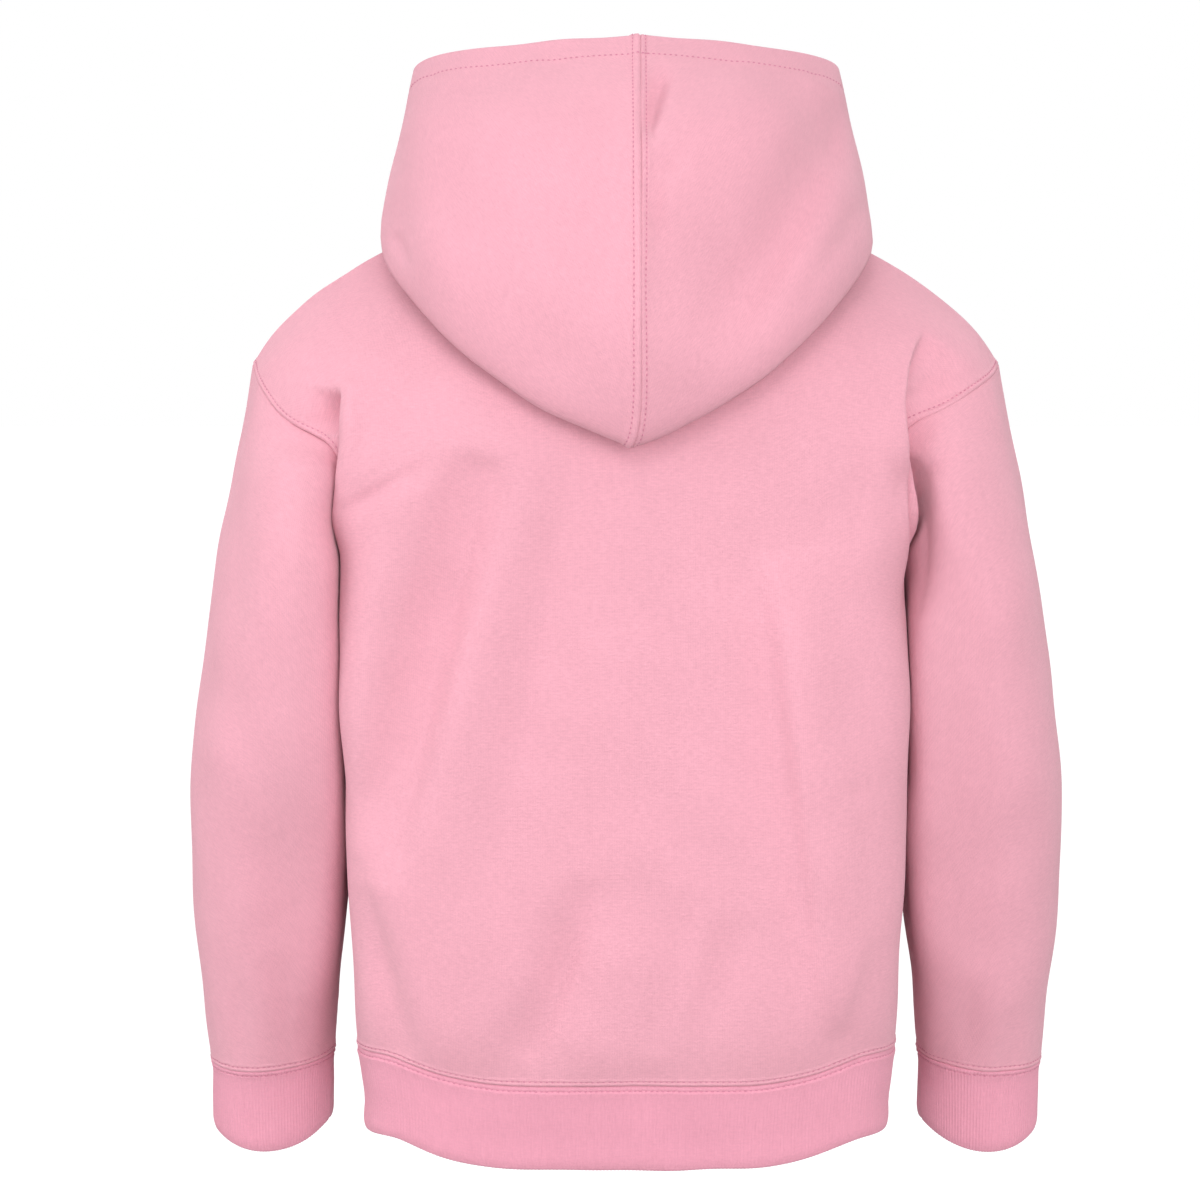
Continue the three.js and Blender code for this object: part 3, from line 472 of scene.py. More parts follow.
class Cloth:
    """A piece of cloth on its fine grid: points, normals and distances from its edges.
    `out` is how far its face lies from the form, `wall` how thick it is."""

    def __init__(self, grid, normals, flip, ring=False, column_pitch=PITCH, extra=(), beside=(),
                 row_pitch=PITCH):
        both = np.concatenate([grid, normals], axis=-1)
        self.rows = fine_places(grid, row_pitch, extra)
        self.columns = fine_places(grid.swapaxes(0, 1), column_pitch, beside, beside)
        lines = np.stack([spline(both[:, c], self.rows) for c in range(both.shape[1])], 1)
        start = 0
        if ring:  # a few columns more on both sides keep the ring smooth where it closes
            start = RING_OVERLAP
            lines = np.concatenate([lines[:, -1 - start: -1], lines, lines[:, 1: 1 + start]], 1)
        fine = np.stack([spline(line, self.columns + start) for line in lines])
        self.points = fine[..., :3]
        self.normals = fine[..., 3:] / norm(fine[..., 3:], axis=-1, keepdims=True)
        self.flip = flip
        self.up = lengths(self.points)
        self.down = self.up[-1] - self.up
        self.across = lengths(self.points.swapaxes(0, 1)).T
        self.back_across = self.across[:, -1:] - self.across
        self.out = np.zeros(self.up.shape)
        self.wall = np.full(self.up.shape, float(FLEECE_WALL))

    def surface(self):
        return self.points + self.normals * self.out[..., None]

    def edge(self, side):
        """(distance from that edge, way along it, place along it as a coarse count)."""
        if side in ("start", "end"):
            along = self.across[0 if side == "start" else -1]
            return (self.up if side == "start" else self.down), along[None], self.columns[None]
        along = self.up[:, 0 if side == "left" else -1]
        across = self.across if side == "left" else self.back_across
        return across, along[:, None], self.rows[:, None]

    def sew(self, side, between=WHOLE_EDGE, lift=0.0, needle=NEEDLE, pucker=0.25):
        """Draws an edge into its seam; `lift` raises the allowance held by a stitch row."""
        away, along, place = self.edge(side)
        first, last = between
        share = smoothstep(place, first - SEAM_END, first + SEAM_END)
        share = share * (1 - smoothstep(place, last - SEAM_END, last + SEAM_END))
        self.out -= share * SEAM_DIP * np.exp(-((away / SEAM_WIDTH) ** 2))
        if lift:
            raised = smoothstep(away, *ALLOWANCE_RISE) * (1 - smoothstep(away - needle, *ALLOWANCE_FALL))
            dent = np.exp(-(((away - needle) / DENT_WIDTH) ** 2))
            self.out += share * (lift * raised - NEEDLE_DENT * dent)
        waves = ripples(along, PUCKER_WAVES)
        waves = waves * smoothstep(away, *PUCKER_START) * np.exp(-away / PUCKER_REACH)
        self.out += share * pucker * waves

    def row_beside(self, side, away_by, between=WHOLE_EDGE, above=0.12):
        """Points and normals of a line at one distance from an edge, for a row of stitches."""
        away, _, place = self.edge(side)
        both = np.concatenate([self.surface() + above * self.normals, self.normals], -1)
        if side in SIDES:
            both, away, place = both.swapaxes(0, 1), away.T, place.T
        if away[0, 0] > away[-1, 0]:
            both, away = both[::-1], away[::-1]
        keep = np.nonzero((place[0] >= between[0]) & (place[0] <= between[1]))[0]
        return np.array([[np.interp(away_by, away[:, i], both[:, i, k]) for k in range(6)]
                         for i in keep])

    def round_off(self, side):
        """Rounds an open edge over, as cloth turned back on itself."""
        away = self.edge(side)[0]
        radius = self.wall / 2
        self.rounding = radius * (1 - np.sqrt(1 - (1 - np.clip(away / radius, 0, 1)) ** 2))

    def mesh(self, name, outside, inside):
        """The closed wall: outer face, inner face and the strips along its edges."""
        rounding = getattr(self, "rounding", 0)
        outer = self.points + self.normals * (self.out - rounding)[..., None]
        inner = self.points + self.normals * (self.out - self.wall + rounding)[..., None]
        rows, columns = self.up.shape
        spot = np.arange(rows * columns).reshape(rows, columns)
        below = rows * columns
        quads = np.stack([spot[:-1, :-1], spot[:-1, 1:], spot[1:, 1:], spot[1:, :-1]], -1).reshape(-1, 4)
        rim = np.concatenate([spot[0, :-1], spot[:-1, -1], spot[-1, :0:-1], spot[:0:-1, 0]])
        after = np.roll(rim, -1)
        strips = np.stack([after, rim, rim + below, after + below], -1)
        faces = np.concatenate([quads, quads[:, ::-1] + below, strips])
        if self.flip:
            faces = faces[:, ::-1]
        verts = np.concatenate([outer, inner]).reshape(-1, 3)
        me = smooth_mesh(name, verts, faces.tolist(), outside, inside)
        uv = np.stack([self.across - self.across[:, [columns // 2]], self.up], -1).reshape(-1, 2) * MM
        corner = np.empty(len(me.loops), np.int32)
        me.loops.foreach_get("vertex_index", corner)
        uv = uv[corner % below].astype(np.float32)
        me.uv_layers.new(name=UV_NAME).uv.foreach_set("vector", uv.ravel())
        sides = np.repeat([0, 1, 0], [len(quads), len(quads), len(rim)])
        me.polygons.foreach_set("material_index", sides)
        return place_piece(name, me)


def smooth_mesh(name, points, faces, *materials):
    me = bpy.data.meshes.new(name)
    me.from_pydata((points * MM).tolist(), [], faces)
    me.polygons.foreach_set("use_smooth", np.ones(len(me.polygons), bool))
    for material in materials:
        me.materials.append(material)
    return me


def place_piece(name, me):
    me.validate()
    me.update()
    piece = bpy.data.objects.new(name, me)
    bpy.context.scene.collection.objects.link(piece)
    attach(piece, "root")
    return piece


def ripples(along, waves):
    """An uneven line of ripples: cosines of the given lengths with random phases."""
    return sum(np.cos(2 * np.pi * along / length + rng.uniform(0, 2 * np.pi))
               for length in waves) / len(waves)


def unevenness(points):
    """Soft bumps and hollows of the cloth, alike on both sides of a seam."""
    total = sum(np.cos(points @ way + phase) for way, phase in UNEVEN_WAVES)
    return UNEVEN_HEIGHT * total / math.sqrt(len(UNEVEN_WAVES) / 2)


def uneven_waves(count, shortest, longest):
    """Seeded directions and phases for the unevenness, with wavelengths in millimetres."""
    ways = rng.normal(size=(count, 3))
    ways *= 2 * np.pi / (rng.uniform(shortest, longest, count) * norm(ways, axis=1))[:, None]
    return list(zip(ways, rng.uniform(0, 2 * np.pi, count)))


def crease_depth(chart, creases):
    """Depth of creases at each point of a chart in millimetres. A crease runs
    from one point past a second to a third; its width is wider on its leaning side."""
    total = np.zeros(chart.shape[:2])
    for x0, z0, x1, z1, x2, z2, width, depth, lean in zip(*creases.values()):
        t = np.linspace(0, 1, 17)[:, None]
        path = (1 - t) ** 2 * (x0, z0) + 2 * t * (1 - t) * (x1, z1) + t**2 * (x2, z2)
        best = np.full(total.shape, np.inf)
        share, side = np.zeros_like(total), np.ones_like(total)
        for i, (a, b) in enumerate(zip(path[:-1], path[1:])):
            along = b - a
            s = np.clip((chart - a) @ along / (along @ along), 0, 1)
            off = chart - a - s[..., None] * along
            distance = np.hypot(*np.moveaxis(off, -1, 0))
            nearer = distance < best
            best = np.where(nearer, distance, best)
            share = np.where(nearer, (i + s) / (len(path) - 1), share)
            turn = along[0] * off[..., 1] - along[1] * off[..., 0]
            side = np.where(nearer, np.tanh(turn / (np.hypot(*along) * width * 0.3)), side)
        taper = np.clip(4 * share * (1 - share), 0, 1) ** 0.75
        total += depth * taper * np.exp(-((best / (width * (1 + lean * side))) ** 2))
    return total


# -------- stitches

STITCH_PITCH, STITCH_LENGTH, STITCH_JITTER = 3.15, 1.75, 0.06
THREAD_RADIUS, THREAD_SIDES = 0.4, 5
# A thread's four rings: where along the stitch, how far down, how thick.
THREAD = table("way sink radius",
    (-0.5, -0.42, 0.6), (-0.22, -0.02, 1), (0.22, -0.02, 1), (0.5, -0.42, 0.6))
STITCH_AIM = 0.8  # a stitch points along its row as seen this far to both sides


def stitches(name, lines, material):
    """One mesh of short bowed threads laid end to end along lines of points and normals."""
    n = THREAD_SIDES
    turns = np.arange(n) * 2 * np.pi / n
    ways, radii = THREAD["way"] * STITCH_LENGTH, THREAD["radius"] * THREAD_RADIUS
    body = [[(way, radius * math.cos(turn), sink + radius * math.sin(turn)) for turn in turns]
            for way, sink, radius in zip(ways, THREAD["sink"], radii)]
    body = np.array(body).reshape(-1, 3)
    ring = np.arange(n)
    faces = [(r + i, r + (i + 1) % n, r + n + (i + 1) % n, r + n + i)
             for r in range(0, 3 * n, n) for i in ring]
    caps = [tuple(ring[::-1]), tuple(ring + 3 * n)]
    verts, quads = [], []
    for line in lines:
        walked = lengths(line)
        count = int(walked[-1] / STITCH_PITCH)
        middles = (np.arange(count) + 0.5) * walked[-1] / count
        middles += rng.normal(0, STITCH_JITTER, count)
        at = [np.stack([np.interp(middles + d, walked, line[:, k]) for k in range(6)], -1)
              for d in (-STITCH_AIM, 0, STITCH_AIM)]
        along = at[2][:, :3] - at[0][:, :3]
        along /= norm(along, axis=1)[:, None]
        up = at[1][:, 3:] - (at[1][:, 3:] * along).sum(1)[:, None] * along
        up /= norm(up, axis=1)[:, None]
        axes = np.stack([along, np.cross(up, along), up], 1)
        first = sum(len(v) for v in verts)
        verts.append((at[1][:, None, :3] + body @ axes).reshape(-1, 3))
        starts = first + np.arange(count) * len(body)
        quads += [tuple(int(s) + int(i) for i in face) for s in starts for face in faces + caps]
    piece = place_piece(name, smooth_mesh(name, np.concatenate(verts), quads, material))

# -------- materials


def fill(tree, node, inputs):
    """Sets a node's sockets: links another socket, or sets a value on the socket itself."""
    for key, value in dict(inputs).items():
        if isinstance(value, bpy.types.NodeSocket):
            tree.links.new(value, node.inputs[key])
        else:
            node.inputs[key].default_value = value


class Shader:
    """A material's node tree, with one short call for each node."""

    def __init__(self, name):
        self.material = bpy.data.materials.new(name)
        self.material.use_nodes = True
        self.tree = self.material.node_tree
        self.surface = self.tree.nodes["Principled BSDF"]

    def node(self, kind, output=0, inputs=(), **settings):
        made = self.tree.nodes.new("ShaderNode" + kind)
        for key, value in settings.items():
            setattr(made, key, value)
        fill(self.tree, made, inputs)
        return made.outputs[output]

    def math(self, operation, *values):
        return self.node("Math", inputs=enumerate(values), operation=operation)

    def noise(self, vector, size, detail=3, roughness=0.55):
        """Noise whose features are about `size` metres across."""
        return self.node("TexNoise", inputs={
            "Vector": vector, "Scale": 1 / size, "Detail": detail, "Roughness": roughness})

    def spread(self, value, low, high):
        """A value from 0 to 1 taken to low..high."""
        return self.node("MapRange", inputs={"Value": value, "To Min": low, "To Max": high})

    def tint(self, colour, value):
        """A colour times a grey value."""
        base = self.node("RGB")
        base.default_value = (*colour, 1)
        return self.node("VectorMath", operation="SCALE", inputs={0: base, "Scale": value})

    def bump(self, height, strength, distance, normal=None):
        inputs = {"Height": height, "Strength": strength, "Distance": distance}
        if normal is not None:
            inputs["Normal"] = normal
        return self.node("Bump", inputs=inputs)

    def finish(self, colour, normal, roughness, sheen, sheen_roughness):
        fill(self.tree, self.surface, {
            "Base Color": colour, "Normal": normal, "Roughness": roughness,
            "Specular IOR Level": 0.25, "Sheen Weight": sheen,
            "Sheen Roughness": sheen_roughness, "Sheen Tint": SHEEN_TINT})
        return self.material


def knit_height(shader, wale, course, lean):
    """The face of a plain knit: columns of small slanted loops, from 0 to 1."""
    uv = shader.node("UVMap", uv_map=UV_NAME)
    u = shader.node("SeparateXYZ", inputs={0: uv})
    v = shader.node("SeparateXYZ", output=1, inputs={0: uv})
    across = shader.math("FRACT", shader.math("DIVIDE", u, wale))
    leg = shader.math("ABSOLUTE", shader.math("SUBTRACT", across, 0.5))
    climb = shader.math("MULTIPLY_ADD", leg, lean, shader.math("DIVIDE", v, course))
    strand = shader.math("ABSOLUTE", shader.math("SINE", shader.math("MULTIPLY", climb, math.pi)))
    groove = shader.math("SUBTRACT", 1, shader.math("POWER", shader.math("MULTIPLY", leg, 2), 4))
    return shader.math("MULTIPLY", strand, groove)


WALE, COURSE_SHARE, LOOP_LEAN = 0.00092, 0.82, 0.9  # width of a loop, its height by it, its slant
PATCH, SLUB, NAP, STREAK = 0.035, 0.0045, 0.0007, 0.0011  # sizes of the cloth's unevenness
STREAK_SCALE = (0.3, 1, 1)  # streaks run across the wales
SHEEN_TINT = (1.0, 0.86, 0.9, 1)


def cloth_material(name, colour, knit, fuzz, mottle_and_groove_shade, sheen, wale=WALE):
    """Cotton fleece or rib: a knitted face, short nap over it, faint unevenness of dye, and painted shade
    in the knit's grooves.
    """
    shader = Shader(name)
    place = shader.node("TexCoord", output="Object")
    face = knit_height(shader, wale, wale * COURSE_SHARE, LOOP_LEAN)
    patches = shader.noise(place, PATCH, 2)
    slub = shader.noise(place, SLUB, 3)
    nap = shader.noise(place, NAP, 4, 0.65)
    along = shader.node("Mapping", inputs={
        "Vector": shader.node("UVMap", uv_map=UV_NAME), "Scale": STREAK_SCALE})
    streak = shader.noise(along, STREAK, 2, 0.6)
    # Patches, slub, nap and streaks make the tone uneven at random; the knit face's term darkens the low
    # grooves between the loops twice as much as it lightens the loops, which is painted shade in the
    # grooves.
    shade = shader.spread(patches, 1 - mottle_and_groove_shade, 1 + mottle_and_groove_shade)
    for value, darker, lighter in (
            (slub, 1, 1), (nap, 2.2, 2.2), (face, 2 * knit, knit), (streak, 3, 3)):
        spread = shader.spread(value, 1 - darker * mottle_and_groove_shade, 1 + lighter * mottle_and_groove_shade)
        shade = shader.math("MULTIPLY", shade, spread)
    normal = shader.bump(face, 0.55 * knit, 0.00022)
    normal = shader.bump(nap, 0.7 * fuzz, 0.0003, normal)
    normal = shader.bump(slub, 0.5, 0.0004, normal)
    return shader.finish(shader.tint(colour, shade), normal, shader.spread(nap, 0.82, 1.0), sheen, 0.45)


def thread_material(name, colour):
    """Sewing thread: fine twist along its length."""
    shader = Shader(name)
    place = shader.node("TexCoord", output="Object")
    fibre = shader.noise(place, 0.00025, 3, 0.6)
    shade = shader.spread(fibre, 0.9, 1.1)
    return shader.finish(shader.tint(colour, shade), shader.bump(fibre, 0.5, 0.0001),
                         shader.spread(fibre, 0.5, 0.75), 0.15, 0.4)


PINK = (0.705, 0.335, 0.408)
# `knit` sets both the knit's bump and the painted shade in its grooves; fleece_face and rib_face carry
# that painted shade, fleece_nap has none.
fleece_face = cloth_material("fleece_face", PINK, knit=1.0, fuzz=1.0, mottle_and_groove_shade=0.04, sheen=0.25)
fleece_nap = cloth_material("fleece_nap", (0.77, 0.38, 0.47), knit=0.0, fuzz=1.6, mottle_and_groove_shade=0.05, sheen=0.5)
rib_face = cloth_material("rib_face", (0.70, 0.30, 0.39), knit=1.0, fuzz=0.5, mottle_and_groove_shade=0.03, sheen=0.2,
                          wale=0.0009)
# The thread is a darker pink than the fleece as painted shade: it stands in for the shade in the furrows
# where the stitches sink.
thread = thread_material("thread", (0.55, 0.205, 0.29))

# -------- the garment

UNEVEN_WAVES = uneven_waves(count=14, shortest=30, longest=95)
sleeves = {side: joined(np.roll(sleeve(side), ARMHOLE_ROWS, axis=1)) for side in SIDES}
panels = {face: body_panel(face) for face in FACES}
waist_ring = np.concatenate([panels["back"][0, :-1], panels["front"][0, :0:-1]])
forms = {
    "back": (panels["back"], True),
    "front": (panels["front"], False),
    "sleeve_left": (sleeves["left"], True),
    "sleeve_right": (sleeves["right"], False),
    "hood_left": (hood_half(1), False),
    "hood_right": (hood_half(-1), True),
    **{f"cuff_{side}": (band_rows(sleeves[side][-1], CUFF, CUFF_RISE), side == "left")
       for side in SIDES},
    "waistband": (joined(band_rows(waist_ring, WAISTBAND, WAISTBAND_RISE)), False),
}

HEM_ROWS = HEM_NEEDLE + np.array([-1.8, -1.2, -0.6, 0, 0.6, 1.2, 1.8, 2.4, 3])
RIBS = {"cuff": (1.85, 0.2), "waistband": (2.05, 0.13)}  # pitch of the wales, half their height
RIB_COLUMNS = 4  # of the fine grid, for each wale

# Creases: three points of each in x and z, its half width and how far it sinks in (a ridge
# has a depth below zero). One that runs downwards is wider towards +X by its lean.
CREASE_NAMES = "x0 z0 x1 z1 x2 z2 width depth lean"
BACK_CREASES = table(CREASE_NAMES,
    # the long fold from under the hood to the wearer's left side, and the ridge beside it
    (76, -134, 104, -222, 137, -372, 19, 11.5, 0.35),
    (60, -150, 86, -232, 108, -340, 10, -1.2, 0),
    (31, -141, 50, -218, 72, -366, 10, 2.2, 0.25),
    # drags from the armholes and shoulders
    (157, -164, 136, -157, 108, -137, 5, 2.8, 0.3),
    (131, -92, 108, -80, 84, -70, 7, 1.1, 0),
    (-128, -316, -126, -318, -122, -322, 5, 1.4, 0),
    (-132, -120, -122, -150, -126, -190, 9, 1.3, 0),
    # the long fold on the wearer's right side
    (-80, -186, -94, -270, -116, -456, 18, -9, -0.64),
    # what hangs above the waistband
    (19, -366, 34, -424, 54, -470, 10, 5, 0.45),
    (0, -372, 10, -424, 26, -468, 9, -1.6, 0),
    (-34, -372, -27, -420, -12, -466, 12, 3, 0.3),
    (-62, -388, -53, -424, -40, -458, 9, 1.4, 0.2),
    (151, -355, 140, -412, 118, -468, 9, 3.4, 0.3),
    (132, -352, 124, -400, 106, -450, 8, -1.2, 0),
    (-138, -400, -130, -434, -118, -466, 8, 2.2, -0.2),
    (153, -92, 152, -120, 152, -150, 5, -2.6, 0))
# The hollow above the wearer's left armhole, and the hard fold along the right one, which
# the sleeves share with the back.
ARMHOLE_CREASES = table(CREASE_NAMES,
    (160.5, -99, 161, -110, 161.5, -124, 6.5, 12.5, 0.75),
    (-168, -70, -156.5, -84, -156.5, -134, 9, 10, -0.8),
    (-157.5, -96, -156, -150, -155.5, -225, 8, 8, -0.7))
FRONT_CREASES = table(CREASE_NAMES,
    (-64, -130, -96, -200, -128, -310, 13, 3, -0.25),
    (-50, -150, -78, -230, -112, -330, 9, -1.6, 0),
    (80, -150, 108, -220, 132, -300, 12, 2.8, 0.25),
    (28, -130, 34, -220, 66, -350, 10, 1.3, 0.2),
    (-22, -160, -30, -240, -58, -330, 9, 1.2, 0),
    (158, -160, 140, -152, 112, -132, 5, 2.4, 0.3),
    (-157, -166, -138, -156, -114, -140, 6, 2.2, 0.3),
    (120, -96, 100, -84, 76, -76, 7, 1.2, 0),
    (96, -330, 112, -400, 120, -460, 11, 2.4, 0.3),
    (-14, -372, -26, -424, -50, -466, 9, 3, -0.4),
    (22, -380, 16, -420, 4, -464, 10, 2, 0),
    (-146, -370, -136, -420, -118, -468, 9, 2.6, -0.3),
    (-88, -380, -84, -420, -72, -462, 9, 1.6, 0),
    (161, -104, 160, -124, 158, -150, 7, 5, 0.6),
    (-163, -98, -160, -120, -157, -152, 7, 4, -0.6))
SLEEVE_BACK_CREASES = table(CREASE_NAMES,
    (184, -112, 170, -122, 153, -133, 5, 3, 0.4),
    (176, -140, 190, -170, 196, -220, 14, 1.4, 0),
    (236, -190, 222, -232, 216, -300, 14, 0.8, 0.2),
    (174, -250, 180, -300, 178, -352, 12, 0.9, 0.2),
    (232, -312, 214, -350, 186, -376, 16, 0.9, 0.2),
    (174, -376, 196, -404, 226, -414, 14, 0.7, 0.2),
    (198, -420, 192, -452, 194, -484, 8, 1.3, 0),
    (220, -438, 222, -462, 218, -486, 6, 1.2, 0),
    (180, -444, 182, -466, 186, -486, 6, 1.1, 0))
SLEEVE_FRONT_CREASES = table(CREASE_NAMES,
    (164, -150, 186, -186, 206, -196, 11, 3, 0.2),
    (232, -170, 220, -222, 224, -282, 12, 1.4, 0),
    (166, -262, 192, -300, 228, -318, 11, 3.4, 0.3),
    (164, -306, 186, -336, 214, -350, 9, 2.6, 0.2),
    (236, -340, 212, -366, 184, -372, 10, 2.4, 0.2),
    (176, -400, 194, -420, 216, -424, 9, 2, 0.2),
    (206, -440, 204, -462, 208, -486, 6, 1.3, 0),
    (188, -436, 190, -460, 188, -486, 6, 1.1, 0))
HOOD_CREASES = table(CREASE_NAMES,
    # the broad slant fold on the wearer's right half, and the shorter one below it
    (-127, 62, -97, -12, -40, -80, 17, 14, 0.2),
    (-136, 10, -118, -18, -90, -58, 8, 3, 0.2),
    (-96, -16, -70, -50, -30, -84, 8, -1.4, 0),
    # small dents along the centre seam
    (-21, 76, -16, 60, -11, 40, 5, 7.5, 0.3),
    (-32, 27, -22, 25, -12, 24, 4, 3.4, 0),
    (-13, 18, -17, -2, -19, -24, 5, 4, 0.2),
    (3, 70, 11, 34, 18, -4, 7, 1.3, 0.2),
    (1.5, -104, 1, -115, -1, -127, 2.2, 2.8, 0),
    # the wearer's left half
    (118, 46, 96, 10, 66, -14, 16, 1.6, 0.2),
    (130, -12, 127, -20, 120, -30, 4, 2, 0),
    (92, 72, 84, 40, 92, 8, 14, 1.5, 0),
    (60, -60, 40, -78, 22, -86, 10, 1, 0))
# The creases of each piece: on its side to the back (1) or the front (-1), which table,
# mirrored in x (-1) or not, and moved up by how much.
CREASES = [
    ("back", 1, BACK_CREASES, 1, 0), ("front", -1, FRONT_CREASES, 1, 0),
    *((name, 1, ARMHOLE_CREASES, 1, 0) for name in ("back", "sleeve_left", "sleeve_right")),
    ("sleeve_left", 1, SLEEVE_BACK_CREASES, 1, 0), ("sleeve_left", -1, SLEEVE_FRONT_CREASES, 1, 0),
    ("sleeve_right", 1, SLEEVE_BACK_CREASES, -1, -14),
    ("sleeve_right", -1, SLEEVE_FRONT_CREASES, -1, 11),
    *((f"hood_{side}", 1, HOOD_CREASES, 1, 0) for side in SIDES),
]
FOLD_COLUMNS = np.arange(10, 66, 1.3)  # extra columns beside the armholes
CREASE_FACING = (0.05, 0.45)
HOOD_CREASE_ROWS = (14, 18)  # they set in above the hood's lower fold

normals = share_normals(forms)
cloths = {}
for name, (grid, flip) in forms.items():
    kind = name.split("_")[0]
    banded = kind in RIBS
    rib_pitch, rib_height = RIBS.get(kind, (0, 0))
    cloth = Cloth(grid, normals[name], flip, ring=banded or kind == "sleeve",
                  column_pitch=rib_pitch / RIB_COLUMNS if banded else PITCH,
                  extra=HEM_ROWS if kind == "hood" else (),
                  beside=FOLD_COLUMNS if name in panels else (),
                  row_pitch=BAND_PITCH if banded else PITCH)
    cloth.out += unevenness(cloth.points)
    if banded:
        cloth.wall[:] = RIB_WALL
        wales = round(cloth.across[:, -1].mean() / rib_pitch)
        turns = wales * cloth.across / cloth.across[:, -1:]
        cloth.out += rib_height * np.cos(2 * np.pi * turns)
    cloths[name] = cloth
for name, facing, creases, mirror, up in CREASES:
    cloth = cloths[name]
    chart = cloth.points[..., [0, 2]] * (mirror, 1) - (0, up)
    share = smoothstep(facing * cloth.normals[..., 1], *CREASE_FACING)
    if name.startswith("hood"):
        share = share * smoothstep(cloth.rows, *HOOD_CREASE_ROWS)[:, None]
    cloth.out -= share * crease_depth(chart, creases)

# The body's back corners swell over the armholes and the sleeves beside them, more where the
# body is narrow, and the left sleeve swells towards the body. First the heights between which
# it sets in and ends, then how far out, and over which x, y or z.
FLUSH_FROM = {"left": (-385, -275), "right": (-225, -170)}
FLUSH_TO = {"left": (-150, -120), "right": (-128, -100)}
BODY_SWELL, BODY_SWELL_Y = 4.0, ((62, 76), (84, 98))
SEAM_FADE = (1, 12)  # from the armhole
NARROW_Z, NARROW_REACH, NARROW_SWELL, NARROW_Y = -200, 38, 4.0, (26, 10)
SLEEVE_SWELL, SLEEVE_SWELL_X, SLEEVE_SWELL_Y = 14, (178, 220), (20, 45)
BODY_SIDE_X = 110
GAP_LEFT = 0.6
# Below the armholes, each sleeve keeps this far from the body, in this stretch of z.
CLEAR_GAP, CLEAR_FROM, CLEAR_TO = 0.5, (-440, -420), (-220, -206)
CLEAR_X, CLEAR_SIDE_X, CLEAR_TOP_Z = 175, 140, -202


def flush_heights(z, side):
    return stretch(z, FLUSH_FROM[side], FLUSH_TO[side])


def swell_body(cloth):
    x, y, z = np.moveaxis(cloth.points, -1, 0)
    narrow = np.exp(-(((z - NARROW_Z) / NARROW_REACH) ** 2))
    (low, high), down = BODY_SWELL_Y
    rise = smoothstep(y + narrow * NARROW_Y[0], low, high + narrow * (NARROW_Y[0] - NARROW_Y[1]))
    swell = (BODY_SWELL + NARROW_SWELL * narrow) * rise * (1 - smoothstep(y, *down))
    for side, half, away in (("left", x > 0, cloth.back_across), ("right", x < 0, cloth.across)):
        share = smoothstep(away, *SEAM_FADE) * flush_heights(z, side)
        cloth.out += np.where(half, swell * share, 0)


def swell_sleeve(arm, body):
    """Moves the left sleeve's inner back corner out by up to the gap beside it."""
    x, y, z = np.moveaxis(arm.points, -1, 0)
    window = (1 - smoothstep(x, *SLEEVE_SWELL_X)) * smoothstep(y, *SLEEVE_SWELL_Y)
    window = window * flush_heights(z, "left")
    chosen = window > 0
    wall = body.surface()[body.points[..., 0] > BODY_SIDE_X]
    near = [np.sqrt(((wall - point) ** 2).sum(1).min()) for point in arm.surface()[chosen]]
    gap = np.maximum(np.array(near) - GAP_LEFT, 0)
    arm.out[chosen] += SLEEVE_SWELL * np.tanh(gap / SLEEVE_SWELL) * window[chosen]


def stand_clear(arm, body):
    """Draws a sleeve back from the body's side, so that a small gap is left below the armhole."""
    x, _, z = np.moveaxis(arm.points, -1, 0)
    window = stretch(z, CLEAR_FROM, CLEAR_TO)
    chosen = (window > 0) & (np.abs(x) < CLEAR_X)
    body_x, body_z = body.points[..., 0] * np.sign(x.mean()), body.points[..., 2]
    beside = (body_x > CLEAR_SIDE_X) & (body_z < CLEAR_TOP_Z)
    wall, ways = body.surface()[beside], body.normals[beside]
    short = np.zeros(chosen.sum())
    for spot, point in enumerate(arm.surface()[chosen]):
        near = ((wall - point) ** 2).sum(1).argmin()
        short[spot] = max(CLEAR_GAP - (point - wall[near]) @ ways[near], 0)
    arm.out[chosen] -= short * window[chosen]


swell_body(cloths["back"])
swell_sleeve(cloths["sleeve_left"], cloths["back"])
for side in SIDES:
    for face in FACES:
        stand_clear(cloths[f"sleeve_{side}"], cloths[face])

FIRST, LAST = WHOLE_EDGE
NECK_SEAM = (NECK_COLUMNS, 3 * NECK_COLUMNS)
ARM_SEAM = (SIDE_ROWS, LAST)
BAND_SWELL, BAND_SWELL_FROM, BAND_SWELL_TO = 2.0, (0, 5), (8, 38)  # below the waistband's seam
for face in FACES:
    cloth = cloths[face]
    cloth.sew("start", lift=0.75)
    cloth.sew("end", NECK_SEAM, lift=0.4)
    cloth.sew("end", (FIRST, NECK_SEAM[0]))
    cloth.sew("end", (NECK_SEAM[1], LAST))
    for side in SIDES:
        cloth.sew(side, ARM_SEAM, lift=0.6)
        cloth.sew(side, (FIRST, SIDE_ROWS))
for side in SIDES:
    arm, cuff, hood = cloths[f"sleeve_{side}"], cloths[f"cuff_{side}"], cloths[f"hood_{side}"]
    arm.sew("start")
    arm.sew("end", lift=0.5, pucker=0.5)
    arm.sew("left")
    arm.sew("right")
    cuff.sew("start", lift=0.3, needle=BAND_NEEDLE)
    cuff.round_off("end")
    hood.sew("start")
    hood.sew("left")
    hood.wall += (HEM_WALL - FLEECE_WALL) * (1 - smoothstep(hood.down, HEM_DEPTH - 1, HEM_DEPTH + 1))
    hood.out -= NEEDLE_DENT * np.exp(-(((hood.down - HEM_NEEDLE) / HEM_DENT_WIDTH) ** 2))
    hood.round_off("end")
cloths["hood_left"].sew("right", lift=BACK_LAP, needle=BACK_LAP_NEEDLE)
cloths["hood_right"].sew("right", lift=0.35)
band = cloths["waistband"]
